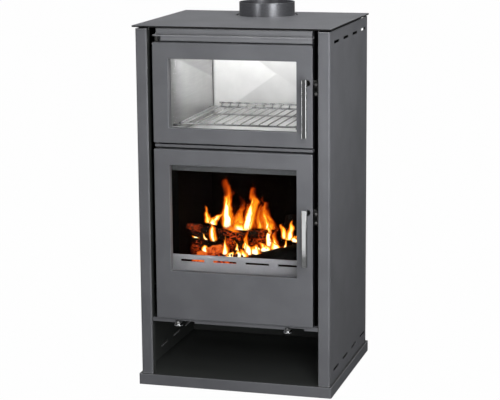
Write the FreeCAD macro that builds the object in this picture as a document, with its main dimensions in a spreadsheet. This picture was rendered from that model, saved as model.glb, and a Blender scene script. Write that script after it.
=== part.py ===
import FreeCAD, Part
import os
from math import sin, tan
from types import SimpleNamespace

import Sketcher

# Wood cookstove: an oven above a fire door, a log store below, a flue collar on top.
# Millimetres. Origin on the floor at the centre of the plinth, front towards -Y, up +Z.

doc = FreeCAD.newDocument("wood_cookstove")
sheet = doc.addObject("Spreadsheet::Sheet", "Sizes")
subparts = []


class Length:
    """A length: its value in millimetres and its formula over the cells of the sheet."""

    def __init__(self, value, formula):
        self.value = value
        self.formula = formula

    def __add__(self, other):
        other = length(other)
        return Length(self.value + other.value, f"({self.formula} + {other.formula})")

    def __sub__(self, other):
        other = length(other)
        return Length(self.value - other.value, f"({self.formula} - {other.formula})")

    def __mul__(self, count):
        count = length(count)
        return Length(self.value * count.value, f"({self.formula} * {count.formula})")

    def __truediv__(self, count):
        count = length(count)
        return Length(self.value / count.value, f"({self.formula} / {count.formula})")

    def __neg__(self):
        return Length(-self.value, f"(-{self.formula})")


def length(term):
    """A plain count or zero as a Length, so that both can stand in one sum."""
    if isinstance(term, Length):
        return term
    return Length(term, str(term))


sizes = {
    # Plinth and cabinet
    "plinth_width": 520,
    "plinth_depth": 456,
    "plinth_height": 28,
    "plinth_sheet": 2.5,
    "plinth_lip": 20,
    "plinth_rib": 40,
    "plinth_corner": 4,
    "plinth_step": 6,
    "front_setback": 8,
    "rear_setback": 4,
    "panel_sheet": 2,
    "panel_bend": 4,
    "column_width": 31,
    "column_return": 24,
    "rear_flange": 11,
    "slot_length": 56,
    "slot_height": 7,
    "slot_front_margin": 46.75,
    "slot_rear_margin": 23,
    "slot_top_margin": 30,
    "slot_bottom_margin": 32,
    # Heights of the front, stacked upwards from the plinth
    "log_store_height": 142.8,
    "rail_height": 9.8,
    "door_floor_gap": 1.8,
    "fire_door_height": 448.4,
    "bar_gap": 4.7,
    "mid_bar_height": 6.8,
    "oven_door_height": 257.5,
    "lip_gap": 15.5,
    "lip_height": 4,
    "head_height": 14.5,
    # Top plate and flue collar
    "plate_overhang": 5.5,
    "plate_front_overhang": 11.5,
    "plate_rear_inset": 6,
    "plate_gap": 4.5,
    "plate_thickness": 4,
    "plate_corner": 3,
    "flue_radius": 74.5,
    "flue_wall": 2,
    "flue_rise": 35,
    "flue_inset": 99,
    "flue_flange_width": 4.5,
    "flue_flange_thickness": 3,
    "plate_hole_gap": 8,
    # Stove body and front frame
    "body_wall": 3,
    "body_inset": 2.7,
    "body_rear_gap": 19,
    "frame_setback": 28,
    "frame_thickness": 4,
    "bar_reach": 21,
    "lip_reach": 26,
    "head_reach": 11,
    "head_inset": 3,
    "head_hinge_gap": 10,
    "head_door_gap": 2.5,
    "bar_overlap": 1,
    "rail_sheet": 2,
    "shield_sheet": 2,
    "shield_gap": 8,
    "shield_overlap": 32,
    "shield_top_gap": 5,
    "spacer_radius": 7,
    "spacer_inset": 60,
    # Doors
    "door_gap": 13.3,
    "door_depth": 22,
    "door_sheet": 3,
    "door_edge": 2.5,
    "door_round": 1.5,
    "window_side_margin": 41.2,
    "oven_window_low_margin": 38.4,
    "oven_window_high_margin": 41,
    "fire_window_low_margin": 127.4,
    "fire_window_high_margin": 40.4,
    "window_flange": 2.5,
    "glass_thickness": 4,
    "glass_lap": 9,
    "liner_sheet": 2,
    "liner_inset": 1,
    "liner_reveal": 2,
    "gasket_width": 9,
    "gasket_margin": 1.5,
    "seal_gap": 0.3,
    # Hinges
    "hinge_inset": 8,
    "hinge_setback": 13,
    "stud_radius": 3.5,
    "shoulder_radius": 6,
    "shoulder_gap": 0.5,
    "bush_wall": 1.6,
    "bush_length": 10,
    "running_clearance": 0.05,
    "hole_clearance": 0.5,
    # Hand grips and latches
    "spindle_inset": 12.7,
    "spindle_radius": 4,
    "oven_spindle_drop": 93.5,
    "fire_spindle_drop": 148.4,
    "boss_radius": 7.5,
    "boss_length": 5,
    "grip_standoff": 34,
    "grip_thickness": 7,
    "grip_width": 13.5,
    "grip_above": 13,
    "grip_below": 133,
    "grip_edge": 2.2,
    "tongue_setback": 12,
    "tongue_thickness": 4,
    "tongue_width": 12,
    "tongue_reach": 20,
    "tongue_corner": 3,
    "notch_rise": 9,
    "notch_drop": 23,
    "latch_clearance": 2,
    "strike_sheet": 3,
    "strike_wall_gap": 1,
    "strike_lip": 10,
    "strike_foot": 38,
    "strike_rise": 3,
    "strike_drop": 33,
    "strike_notch_low": 12,
    "strike_notch_high": 22,
    # Oven
    "flue_channel": 31,
    "oven_wall": 1.5,
    "oven_rear_channel": 20.5,
    "oven_floor_margin": 15,
    "oven_roof_margin": 24.5,
    "wire_radius": 2.5,
    "wire_bend": 8,
    "runner_offset": 17,
    "runner_height": 24.7,
    "runner_front": 16,
    "runner_rear": 32,
    "rack_clearance": 0.3,
    "rack_front": 12,
    "rack_rear": 51,
    "rack_wire_radius": 1.6,
    "rack_side_margin": 22.8,
    "rack_weld_sink": 0.5,
    "rack_hook_rise": 9,
    # Firebox
    "fire_side_margin": 27.7,
    "fire_seal_margin": 14,
    "ash_height": 84,
    "hearth_thickness": 6,
    "hearth_side_margin": 78,
    "hearth_end_margin": 87,
    "grate_lap": 12,
    "grate_thickness": 12,
    "grate_corner": 8,
    "grate_slot_margin": 16.5,
    "grate_rim": 22,
    "brick_thickness": 28,
    "smoke_gap": 55.3,
    "brick_front_gap": 2,
    "baffle_thickness": 20,
    "baffle_front_gap": 80,
    "baffle_side_gap": 2,
    "guard_setback": 70,
    "guard_sheet": 3,
    "guard_height": 71,
    "guard_foot": 22,
    "guard_side_gap": 16,
    "guard_slot_margin": 24,
    "guard_slot_height": 6,
    "guard_slot_gap": 24,
    "guard_slot_drop": 15.5,
    "wash_sheet": 3,
    "wash_show": 20,
    "wash_weld": 22,
    "wash_side_gap": 3,
    # Ash pan
    "pan_side_gap": 54,
    "pan_height": 50,
    "pan_sheet": 2,
    "pan_corner": 2.5,
    "pan_front": 27,
    "pan_rear_gap": 63,
    "pan_pull_width": 90,
    "pan_pull_reach": 14,
    "pan_pull_drop": 10,
    "pan_rail_width": 12,
    "pan_rail_inset": 14,
    "pan_rail_rise": 4,
    "pan_clearance": 0.3,
    # Air slides
    "slide_thickness": 2,
    "slide_clearance": 0.2,
    "slide_length": 122,
    "slide_width": 72,
    "slide_end": 20,
    "slide_travel": 30,
    "slide_front_gap": 4,
    "tab_width": 15,
    "tab_reach": 18,
    "tab_clearance": 3,
    "notch_height": 5.2,
    "primary_knob_inset": 60.7,
    "secondary_knob_inset": 64.7,
    "knob_reach": 11,
    "knob_radius": 12.3,
    "knob_thickness": 3,
    "knob_bevel": 1,
    "knob_stem_radius": 5,
    "knob_stem_length": 3.6,
    "nut_radius": 5,
    "nut_height": 4.4,
    "air_slot_width": 16,
    "air_slot_depth": 44,
    "air_slot_pitch": 60,
    "air_slot_inset": 31,
    "tray_sheet": 2,
    "tray_wall": 3,
    "tray_end_gap": 3,
    # One overrun for every cut, and how close two places must be to count as one
    "overrun": 1,
    "same_place": 0.001,
}
counts = {
    "slot_count": 4,
    "rack_wire_count": 12,
    "grate_slot_count": 9,
    "guard_slot_count": 4,
}

# Every size goes into the sheet, and is read back from its own cell
for row, (name, value) in enumerate({**sizes, **counts}.items(), 1):
    sheet.set(f"A{row}", name)
    sheet.set(f"B{row}", str(value))
    sheet.setAlias(f"B{row}", name)
doc.recompute()
cells = {name: Length(sheet.get(name), "Sizes." + name) for name in {**sizes, **counts}}
size = SimpleNamespace(**cells)

# Places worked out from the driving dimensions
face = -size.plinth_depth / 2 + size.front_setback
rear = size.plinth_depth / 2 - size.rear_setback
panel_x = size.plinth_width / 2 - size.plinth_step
column_x = panel_x - size.column_width
door_x = column_x - size.door_gap
body_x = door_x - size.body_inset
window_x = door_x - size.window_side_margin
rail_low = size.plinth_height + size.log_store_height
rail_top = rail_low + size.rail_height
fire_low = rail_top + size.door_floor_gap
fire_high = fire_low + size.fire_door_height
bar_low = fire_high + size.bar_gap
bar_top = bar_low + size.mid_bar_height
oven_low = bar_top + size.bar_gap
oven_high = oven_low + size.oven_door_height
lip_low = oven_high + size.lip_gap
lip_top = lip_low + size.lip_height
panel_top = lip_top + size.head_height
plate_low = panel_top + size.plate_gap
plate_top = plate_low + size.plate_thickness
frame_front = face + size.frame_setback
frame_back = frame_front + size.frame_thickness
body_back = rear - size.body_rear_gap
body_in_x = body_x - size.body_wall
body_in_back = body_back - size.body_wall
slide_low = rail_low + size.tray_sheet + size.slide_clearance
slide_top = slide_low + size.slide_thickness
floor_low = slide_top + size.slide_clearance
floor_top = floor_low + size.body_wall
roof_low = plate_low - size.body_wall
flue_y = rear - size.flue_inset
oven_x = body_in_x - size.flue_channel - size.oven_wall
oven_back = body_in_back - size.oven_rear_channel - size.oven_wall
oven_floor = oven_low + size.oven_floor_margin
oven_roof = oven_high - size.oven_roof_margin
fire_opening_x = door_x - size.fire_side_margin
fire_opening_low = fire_low + size.fire_seal_margin
fire_opening_high = fire_high - size.fire_seal_margin
hearth_low = floor_top + size.ash_height
hearth_top = hearth_low + size.hearth_thickness
brick_x = body_in_x - size.brick_thickness
brick_back = body_in_back - size.brick_thickness
hearth_hole_x = brick_x - size.hearth_side_margin
hearth_hole_y = (frame_back + size.hearth_end_margin, body_in_back - size.hearth_end_margin)
brick_front = face + size.guard_setback + size.guard_foot + size.brick_front_gap
baffle_top = oven_floor - size.oven_wall - size.smoke_gap
brick_top = baffle_top - size.baffle_thickness
hinge_x = -door_x + size.hinge_inset
hinge_y = face + size.hinge_setback
spindle_x = door_x - size.spindle_inset
tongue_front = face + size.tongue_setback
tongue_back = tongue_front + size.tongue_thickness
slide_front = frame_back + size.slide_front_gap
slide_back = slide_front + size.slide_width
rail_front = frame_front - size.bar_reach
knob_y = rail_front - size.knob_reach
primary_knob_x = size.primary_knob_inset - door_x
secondary_knob_x = door_x - size.secondary_knob_inset


def bind(thing, prop, size):
    """Tie one property of a document object to the sheet."""
    thing.setExpression(prop, length(size).formula)


def place(thing, x, y, z):
    for axis, at in (("x", x), ("y", y), ("z", z)):
        bind(thing, "Placement.Base." + axis, at)


def named(thing, label):
    """Take a finished object as a sub-part under its own name."""
    thing.Label = label
    subparts.append(thing)
    return thing


def block(name, x, y, z):
    """A plain bar, plate or brick between two ends on each axis."""
    solid = doc.addObject("Part::Box", name)
    for prop, ends in (("Length", x), ("Width", y), ("Height", z)):
        bind(solid, prop, length(ends[1]) - ends[0])
    place(solid, x[0], y[0], z[0])
    return solid


def rod(name, radius, axis, start, end, first, second):
    """A round bar along one axis; first and second are its place on the other two."""
    solid = doc.addObject("Part::Cylinder", name)
    bind(solid, "Radius", radius)
    bind(solid, "Height", length(end) - start)
    if axis == "x":
        solid.Placement.Rotation = FreeCAD.Rotation(FreeCAD.Vector(0, 1, 0), 90)
        place(solid, start, first, second)
    elif axis == "y":
        solid.Placement.Rotation = FreeCAD.Rotation(FreeCAD.Vector(1, 0, 0), -90)
        place(solid, first, start, second)
    else:
        place(solid, first, second, start)
    return solid


def ring(name, radius, bore, axis, start, end, first, second):
    """A round bar with a bore through it."""
    solid = doc.addObject("Part::Cut", name)
    solid.Base = rod(name + "_outside", radius, axis, start, end, first, second)
    solid.Tool = rod(name + "_bore", bore, axis, start - size.overrun, end + size.overrun, first, second)
    return solid


def group(name, solids):
    """Alike solids that share one node."""
    together = doc.addObject("Part::Compound", name)
    together.Links = solids
    return together


def rectangle(x, y):
    return [(x[0], y[0]), (x[1], y[0]), (x[1], y[1]), (x[0], y[1])]


def new_body(name):
    return doc.addObject("PartDesign::Body", name)


def pin_to_origin(sketch, geometry, point, spot):
    """Fix one point of a sketch at its named distances from the sketch's origin."""
    for kind, across_axis, at in (("DistanceX", -2, spot[0]), ("DistanceY", -1, spot[1])):
        at = length(at)
        if at.value == 0:
            sketch.addConstraint(Sketcher.Constraint("PointOnObject", geometry, point, across_axis))
            continue
        row = sketch.addConstraint(Sketcher.Constraint(kind, -1, 1, geometry, point, at.value))
        bind(sketch, f"Constraints[{row}]", at)


def add_outline(sketch, corners):
    """A closed outline of straight lines through named corners."""
    first = sketch.GeometryCount
    spots = [FreeCAD.Vector(length(u).value, length(v).value, 0) for u, v in corners]
    for number, spot in enumerate(spots):
        following = spots[(number + 1) % len(spots)]
        sketch.addGeometry(Part.LineSegment(spot, following))
    for number in range(len(spots)):
        after = (number + 1) % len(spots)
        join = Sketcher.Constraint("Coincident", first + number, 2, first + after, 1)
        sketch.addConstraint(join)
    for number, corner in enumerate(corners):
        pin_to_origin(sketch, first + number, 1, corner)


def add_circle(sketch, centre, radius):
    middle = FreeCAD.Vector(length(centre[0]).value, length(centre[1]).value, 0)
    geometry = sketch.addGeometry(Part.Circle(middle, FreeCAD.Vector(0, 0, 1), radius.value))
    row = sketch.addConstraint(Sketcher.Constraint("Radius", geometry, radius.value))
    bind(sketch, f"Constraints[{row}]", radius)
    pin_to_origin(sketch, geometry, 3, centre)


def new_sketch(body, plane, level, outlines=(), circles=()):
    """A sketch on one of the body's own planes, moved out to a named level."""
    sketch = body.newObject("Sketcher::SketchObject", body.Name + "_sketch")
    support = [flat for flat in body.Origin.OriginFeatures if flat.Role == plane]
    sketch.AttachmentSupport = [(support[0], "")]
    sketch.MapMode = "FlatFace"
    level = length(level)
    bind(sketch, "AttachmentOffset.Base.z", -level if plane == "XZ_Plane" else level)
    for corners in outlines:
        add_outline(sketch, corners)
    for centre, radius in circles:
        add_circle(sketch, centre, radius)
    return sketch


def pad(body, plane, ends, outlines=(), circles=()):
    """Material between two levels of a plane."""
    start = ends[1] if plane == "XZ_Plane" else ends[0]
    sketch = new_sketch(body, plane, start, outlines, circles)
    feature = body.newObject("PartDesign::Pad", body.Name + "_pad")
    feature.Profile = sketch
    bind(feature, "Length", length(ends[1]) - ends[0])
    body.Tip = feature
    doc.recompute()
    return feature


def pocket(body, plane, ends, outlines=(), circles=()):
    """A cut between two levels of a plane, compared by volume."""
    before = body.Shape.Volume
    start = ends[0] if plane == "XZ_Plane" else ends[1]
    sketch = new_sketch(body, plane, start, outlines, circles)
    feature = body.newObject("PartDesign::Pocket", body.Name + "_pocket")
    feature.Profile = sketch
    bind(feature, "Length", length(ends[1]) - ends[0])
    body.Tip = feature
    doc.recompute()
    if not body.Shape.Volume < before:
        raise RuntimeError(body.Name + ": a pocket cut nothing")
    return feature


def revolve(body, level, corners):
    """A turned piece: an outline at one Y level, spun round the upright axis there."""
    sketch = new_sketch(body, "XZ_Plane", level, [corners])
    feature = body.newObject("PartDesign::Revolution", body.Name + "_turned")
    feature.Profile = sketch
    feature.ReferenceAxis = (sketch, ["V_Axis"])
    feature.Angle = 360
    body.Tip = feature
    doc.recompute()


def repeat(body, cut, pitch, count):
    """Repeat one cut along its sketch's level axis."""
    feature = body.newObject("PartDesign::LinearPattern", body.Name + "_row")
    feature.Originals = [cut]
    feature.Direction = (cut.Profile[0], ["H_Axis"])
    bind(feature, "Length", pitch * (count - 1))
    bind(feature, "Occurrences", count)
    body.Tip = feature
    doc.recompute()


def round_edges(body, radius, axis, places):
    """Round the straight edges along one axis that stand at the given places."""
    others = [name for name in "xyz" if name != axis]
    chosen = []
    base = body.Tip
    for number, edge in enumerate(base.Shape.Edges, 1):
        ends = [vertex.Point for vertex in edge.Vertexes]
        for spot in places:
            wanted = [(other, length(at).value) for other, at in zip(others, spot)]
            offsets = [abs(getattr(end, other) - at) for end in ends for other, at in wanted]
            if max(offsets) < size.same_place.value:
                chosen.append(f"Edge{number}")
    feature = body.newObject("PartDesign::Fillet", body.Name + "_round")
    feature.Base = (base, chosen)
    bind(feature, "Radius", radius)
    body.Tip = feature
    doc.recompute()


def bent_wire(stops, bend, radius, closed=False):
    """A round wire through named stops: straight runs joined by tangent arcs."""
    spots = [FreeCAD.Vector(*[length(at).value for at in stop]) for stop in stops]
    count = len(spots)
    turns = []
    for number in range(count):
        if not closed and number in (0, count - 1):
            turns.append((spots[number], None, spots[number]))
            continue
        corner = spots[number]
        back = (spots[number - 1] - corner).normalize()
        onward = (spots[(number + 1) % count] - corner).normalize()
        half = back.getAngle(onward) / 2
        middle = (back + onward).normalize()
        tangent = bend.value / tan(half)
        apex = corner + middle * (bend.value / sin(half) - bend.value)
        turns.append((corner + back * tangent, apex, corner + onward * tangent))
    edges = []
    for number in range(count):
        start, apex, end = turns[number]
        if apex:
            edges.append(Part.Arc(start, apex, end).toShape())
        if closed or number < count - 1:
            following = turns[(number + 1) % count][0]
            edges.append(Part.LineSegment(end, following).toShape())
    path = Part.Wire(edges)
    heading = edges[0].tangentAt(edges[0].FirstParameter)
    section = Part.Circle(edges[0].Vertexes[0].Point, heading, radius.value).toShape()
    return path.makePipeShell([Part.Wire([section])], True, False)


def make_plinth():
    """A folded tray, open below, with lips and a middle strap that rest on the floor."""
    body = new_body("base_plinth")
    x = size.plinth_width / 2
    y = size.plinth_depth / 2
    pad(body, "XY_Plane", (0, size.plinth_height), [rectangle((-x, x), (-y, y))])
    corners = [(-x, -y), (x, -y), (x, y), (-x, y)]
    round_edges(body, size.plinth_corner, "z", corners)
    lip_x = x - size.plinth_lip
    lip_y = y - size.plinth_lip
    rib_x = size.plinth_rib / 2
    left = rectangle((-lip_x, -rib_x), (-lip_y, lip_y))
    right = rectangle((rib_x, lip_x), (-lip_y, lip_y))
    pocket(body, "XY_Plane", (0, size.plinth_sheet), [left, right])
    in_x = x - size.plinth_sheet
    in_y = y - size.plinth_sheet
    hollow = (size.plinth_sheet, size.plinth_height - size.plinth_sheet)
    pocket(body, "XY_Plane", hollow, [rectangle((-in_x, in_x), (-in_y, in_y))])
    named(body, "base_plinth")


def make_side_panel(name, side):
    """One sheet folded round the front column, with two rows of air slots."""
    body = new_body(name)
    outer = panel_x * side
    inner = column_x * side
    sheet_in = size.panel_sheet * side
    outline = [
        (inner, face + size.column_return),
        (inner, face),
        (outer, face),
        (outer, rear),
        (outer - size.rear_flange * side, rear),
        (outer - size.rear_flange * side, rear - size.panel_sheet),
        (outer - sheet_in, rear - size.panel_sheet),
        (outer - sheet_in, face + size.panel_sheet),
        (inner + sheet_in, face + size.panel_sheet),
        (inner + sheet_in, face + size.column_return),
    ]
    pad(body, "XY_Plane", (size.plinth_height, panel_top), [outline])
    round_edges(body, size.panel_bend, "z", [outline[1], outline[2], outline[3]])
    round_edges(body, size.panel_bend - size.panel_sheet, "z", [outline[6], outline[7], outline[8]])
    start = face + size.slot_front_margin
    along = (start, start + size.slot_length)
    last = rear - size.slot_rear_margin - size.slot_length
    pitch = (last - start) / (size.slot_count - 1)
    high = panel_top - size.slot_top_margin
    low = size.plinth_height + size.slot_bottom_margin
    half = size.slot_height / 2
    rows = [rectangle(along, (middle - half, middle + half)) for middle in (low, high)]
    through = (outer - sheet_in - size.overrun, outer + size.overrun)
    if side < 0:
        through = (outer - size.overrun, outer - sheet_in + size.overrun)
    repeat(body, pocket(body, "YZ_Plane", through, rows), pitch, size.slot_count)
    named(body, name)


def make_top_plate():
    body = new_body("top_plate")
    x = panel_x + size.plate_overhang
    front = face - size.plate_front_overhang
    back = rear - size.plate_rear_inset
    hole = ((0, flue_y), size.flue_radius + size.plate_hole_gap)
    pad(body, "XY_Plane", (plate_low, plate_top), [rectangle((-x, x), (front, back))], [hole])
    round_edges(body, size.plate_corner, "z", [(-x, front), (x, front), (x, back), (-x, back)])
    named(body, "top_plate")


def make_flue_collar():
    """A turned spigot with a base flange that stands on the body's roof."""
    body = new_body("flue_collar")
    bore = size.flue_radius - size.flue_wall
    flange = size.flue_radius + size.flue_flange_width
    shoulder = plate_low + size.flue_flange_thickness
    rim = plate_top + size.flue_rise
    outline = [
        (bore, plate_low),
        (flange, plate_low),
        (flange, shoulder),
        (size.flue_radius, shoulder),
        (size.flue_radius, rim),
        (bore, rim),
    ]
    revolve(body, flue_y, outline)
    named(body, "flue_collar")


def air_slots(knob_x, towards):
    """The two air slots of one slide, at rest, as outlines seen from above."""
    middle = (slide_front + slide_back) / 2
    across = (middle - size.air_slot_depth / 2, middle + size.air_slot_depth / 2)
    slots = []
    for number in range(2):
        centre = knob_x + (size.air_slot_inset - size.slide_end + size.air_slot_pitch * number) * towards
        half = size.air_slot_width / 2
        slots.append(rectangle((centre - half, centre + half), across))
    return slots


def make_body():
    """The welded stove body: side walls, back, floor with air slots and roof with flue hole."""
    inside = (frame_back, body_back)
    walls = (floor_top, roof_low)
    named(block("body_side_left", (-body_x, -body_in_x), inside, walls), "body_side_left")
    named(block("body_side_right", (body_in_x, body_x), inside, walls), "body_side_right")
    back = block("body_back", (-body_in_x, body_in_x), (body_in_back, body_back), walls)
    named(back, "body_back")
    slots = air_slots(primary_knob_x, 1) + air_slots(secondary_knob_x, -1)
    floor = new_body("body_floor")
    pad(floor, "XY_Plane", (floor_low, floor_top), [rectangle((-body_x, body_x), inside)] + slots)
    named(floor, "body_floor")
    roof = new_body("body_roof")
    hole = ((0, flue_y), size.flue_radius - size.flue_wall)
    pad(roof, "XY_Plane", (roof_low, plate_low), [rectangle((-body_x, body_x), inside)], [hole])
    named(roof, "body_roof")


def make_front():
    """The front frame with its two openings, and the bars that stand out from it."""
    frame = new_body("front_frame")
    oven = rectangle((-oven_x, oven_x), (oven_floor, oven_roof))
    fire = rectangle((-fire_opening_x, fire_opening_x), (fire_opening_low, fire_opening_high))
    outside = rectangle((-body_x, body_x), (floor_low, plate_low))
    pad(frame, "XZ_Plane", (frame_front, frame_back), [outside, oven, fire])
    named(frame, "front_frame")
    bar_x = body_x + size.bar_overlap
    bar = block("mid_bar", (-bar_x, bar_x), (rail_front, frame_front), (bar_low, bar_top))
    named(bar, "mid_bar")
    lip_front = frame_front - size.lip_reach
    lip = new_body("top_lip")
    pad(lip, "YZ_Plane", (-bar_x, bar_x), [rectangle((lip_front, frame_front), (lip_low, lip_top))])
    head = (frame_front - size.head_reach, frame_front)
    head_x = body_x - size.head_inset
    pad(lip, "YZ_Plane", (-head_x, head_x), [rectangle(head, (lip_top, panel_top))])
    below = (oven_high + size.head_door_gap, lip_low)
    pad(lip, "YZ_Plane", (hinge_x + size.head_hinge_gap, head_x), [rectangle(head, below)])
    named(lip, "top_lip")


def make_bottom_rail():
    """An angle between the columns, notched where the tabs of the air slides come out."""
    body = new_body("bottom_rail")
    outline = [
        (rail_front, rail_low),
        (rail_front, rail_top),
        (frame_front, rail_top),
        (frame_front, rail_top - size.rail_sheet),
        (rail_front + size.rail_sheet, rail_top - size.rail_sheet),
        (rail_front + size.rail_sheet, rail_low),
    ]
    pad(body, "YZ_Plane", (-column_x, column_x), [outline])
    margin = size.tab_width / 2 + size.tab_clearance
    height = (rail_low - size.overrun, rail_low + size.notch_height)
    notches = []
    for knob_x in (primary_knob_x, secondary_knob_x):
        notches.append(rectangle((knob_x - margin, knob_x + size.slide_travel + margin), height))
    through = (rail_front - size.overrun, rail_front + size.rail_sheet + size.overrun)
    pocket(body, "XZ_Plane", through, notches)
    named(body, "bottom_rail")


def make_back():
    """The rear heat shield with its folded edges, the log store's back and all the spacers."""
    shield = new_body("rear_heat_shield")
    shield_x = body_x + size.shield_overlap
    front = body_back + size.shield_gap
    back = front + size.shield_sheet
    top = panel_top - size.shield_top_gap
    outline = [
        (body_back, floor_low),
        (back, floor_low),
        (back, top),
        (body_back, top),
        (body_back, top - size.shield_sheet),
        (front, top - size.shield_sheet),
        (front, floor_low + size.shield_sheet),
        (body_back, floor_low + size.shield_sheet),
    ]
    pad(shield, "YZ_Plane", (-shield_x, shield_x), [outline])
    named(shield, "rear_heat_shield")
    store_x = panel_x - size.panel_sheet - size.panel_bend
    store_back = rear - size.panel_sheet
    store = (store_back - size.shield_sheet, store_back)
    height = (size.plinth_height, rail_low)
    named(block("log_store_back", (-store_x, store_x), store, height), "log_store_back")
    spacers = []
    for side in (-1, 1):
        for height in (floor_top + size.spacer_inset, roof_low - size.spacer_inset):
            spot = (size.spacer_inset - body_x) * side
            name = "shield_spacer"
            spacers.append(rod(name, size.spacer_radius, "y", body_back, front, spot, height))
    named(group("shield_spacers", spacers), "shield_spacers")


def make_panel_spacers(name, start, end):
    """Four distance pieces between the body and one side panel."""
    spacers = []
    for along in (frame_back + size.spacer_inset, body_back - size.spacer_inset):
        for height in (floor_top + size.spacer_inset, roof_low - size.spacer_inset):
            spacers.append(rod("panel_spacer", size.spacer_radius, "x", start, end, along, height))
    named(group(name, spacers), name)


def make_oven():
    """The oven box, open at the front, and the wire runners on its walls."""
    body = new_body("oven_box")
    outside_x = oven_x + size.oven_wall
    height = (oven_floor - size.oven_wall, oven_roof + size.oven_wall)
    outside = rectangle((-outside_x, outside_x), height)
    pad(body, "XZ_Plane", (frame_back, oven_back + size.oven_wall), [outside])
    inside = rectangle((-oven_x, oven_x), (oven_floor, oven_roof))
    pocket(body, "XZ_Plane", (frame_back, oven_back), [inside])
    named(body, "oven_box")
    start = frame_back + size.runner_front
    end = oven_back - size.runner_rear
    height = oven_floor + size.runner_height
    for name, side in (("rack_runner_left", -1), ("rack_runner_right", 1)):
        wall = oven_x * side
        run = wall - size.runner_offset * side
        stops = [(wall, start, height), (run, start, height), (run, end, height), (wall, end, height)]
        runner = doc.addObject("Part::Feature", name)
        runner.Shape = bent_wire(stops, size.wire_bend, size.wire_radius)
        named(runner, name)


def make_rack():
    """A welded wire rack: a bent frame, and rungs whose rear ends turn up as a stop."""
    x = oven_x - size.runner_offset
    front = frame_back + size.rack_front
    back = oven_back - size.rack_rear
    level = oven_floor + size.runner_height + size.wire_radius * 2 + size.rack_clearance
    corners = [(-x, front, level), (x, front, level), (x, back, level), (-x, back, level)]
    rack = bent_wire(corners, size.wire_bend, size.wire_radius, closed=True)
    rung_level = level + size.wire_radius + size.rack_wire_radius - size.rack_weld_sink
    rung_back = back + size.wire_radius
    turn = size.rack_wire_radius * 2
    tip = rung_level + size.rack_hook_rise
    first = size.rack_side_margin - x
    pitch = -first * 2 / (size.rack_wire_count - 1)
    rungs = []
    for number in range(int(size.rack_wire_count.value)):
        rung_x = first + pitch * number
        stops = [(rung_x, front - size.wire_radius, rung_level), (rung_x, rung_back, rung_level)]
        stops.append((rung_x, rung_back, tip))
        rungs.append(bent_wire(stops, turn, size.rack_wire_radius))
    node = doc.addObject("Part::Feature", "oven_rack")
    node.Shape = rack.fuse(rungs)
    named(node, "oven_rack")


def make_firebox():
    """Hearth plate, grate, bricks, baffle, log guard and air-wash strip."""
    hearth = new_body("hearth_plate")
    hole = rectangle((-hearth_hole_x, hearth_hole_x), hearth_hole_y)
    outside = rectangle((-body_in_x, body_in_x), (frame_back, body_in_back))
    pad(hearth, "XY_Plane", (hearth_low, hearth_top), [outside, hole])
    named(hearth, "hearth_plate")
    upright = (hearth_top, brick_top)
    deep = (brick_front, body_in_back)
    named(block("fire_brick_left", (-body_in_x, -brick_x), deep, upright), "fire_brick_left")
    named(block("fire_brick_right", (brick_x, body_in_x), deep, upright), "fire_brick_right")
    back = block("fire_brick_back", (-brick_x, brick_x), (brick_back, body_in_back), upright)
    named(back, "fire_brick_back")
    baffle_x = body_in_x - size.baffle_side_gap
    baffle_deep = (frame_back + size.baffle_front_gap, body_in_back)
    baffle_high = (brick_top, baffle_top)
    baffle = block("smoke_baffle", (-baffle_x, baffle_x), baffle_deep, baffle_high)
    named(baffle, "smoke_baffle")
    wash_x = fire_opening_x - size.wash_side_gap
    window_top = fire_high - size.fire_window_high_margin
    wash_high = (window_top - size.wash_show, fire_opening_high + size.wash_weld)
    wash = block("air_wash_strip", (-wash_x, wash_x), (frame_back, frame_back + size.wash_sheet), wash_high)
    named(wash, "air_wash_strip")


def make_grate():
    """A cast grate whose slots are as wide as the bars between them."""
    body = new_body("fire_grate")
    x = hearth_hole_x + size.grate_lap
    deep = (hearth_hole_y[0] - size.grate_lap, hearth_hole_y[1] + size.grate_lap)
    high = (hearth_top, hearth_top + size.grate_thickness)
    pad(body, "XY_Plane", high, [rectangle((-x, x), deep)])
    corners = [(-x, deep[0]), (x, deep[0]), (x, deep[1]), (-x, deep[1])]
    round_edges(body, size.grate_corner, "z", corners)
    first = size.grate_slot_margin - x
    width = -first * 2 / (size.grate_slot_count * 2 - 1)
    slot = rectangle((first, first + width), (deep[0] + size.grate_rim, deep[1] - size.grate_rim))
    cut = pocket(body, "XY_Plane", (high[0] - size.overrun, high[1] + size.overrun), [slot])
    repeat(body, cut, width * 2, size.grate_slot_count)
    named(body, "fire_grate")


def make_log_guard():
    """A folded plate on the hearth that keeps logs off the glass, with a row of air slots."""
    body = new_body("log_guard")
    x = body_in_x - size.guard_side_gap
    front = face + size.guard_setback
    top = hearth_top + size.guard_height
    outline = [
        (front, hearth_top),
        (front + size.guard_foot, hearth_top),
        (front + size.guard_foot, hearth_top + size.guard_sheet),
        (front + size.guard_sheet, hearth_top + size.guard_sheet),
        (front + size.guard_sheet, top),
        (front, top),
    ]
    pad(body, "YZ_Plane", (-x, x), [outline])
    first = size.guard_slot_margin - x
    pitch = (-first * 2 + size.guard_slot_gap) / size.guard_slot_count
    middle = top - size.guard_slot_drop
    slot = rectangle(
        (first, first + pitch - size.guard_slot_gap),
        (middle - size.guard_slot_height / 2, middle + size.guard_slot_height / 2),
    )
    cut = pocket(body, "XZ_Plane", (front - size.overrun, front + size.guard_sheet + size.overrun), [slot])
    repeat(body, cut, pitch, size.guard_slot_count)
    named(body, "log_guard")


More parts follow.
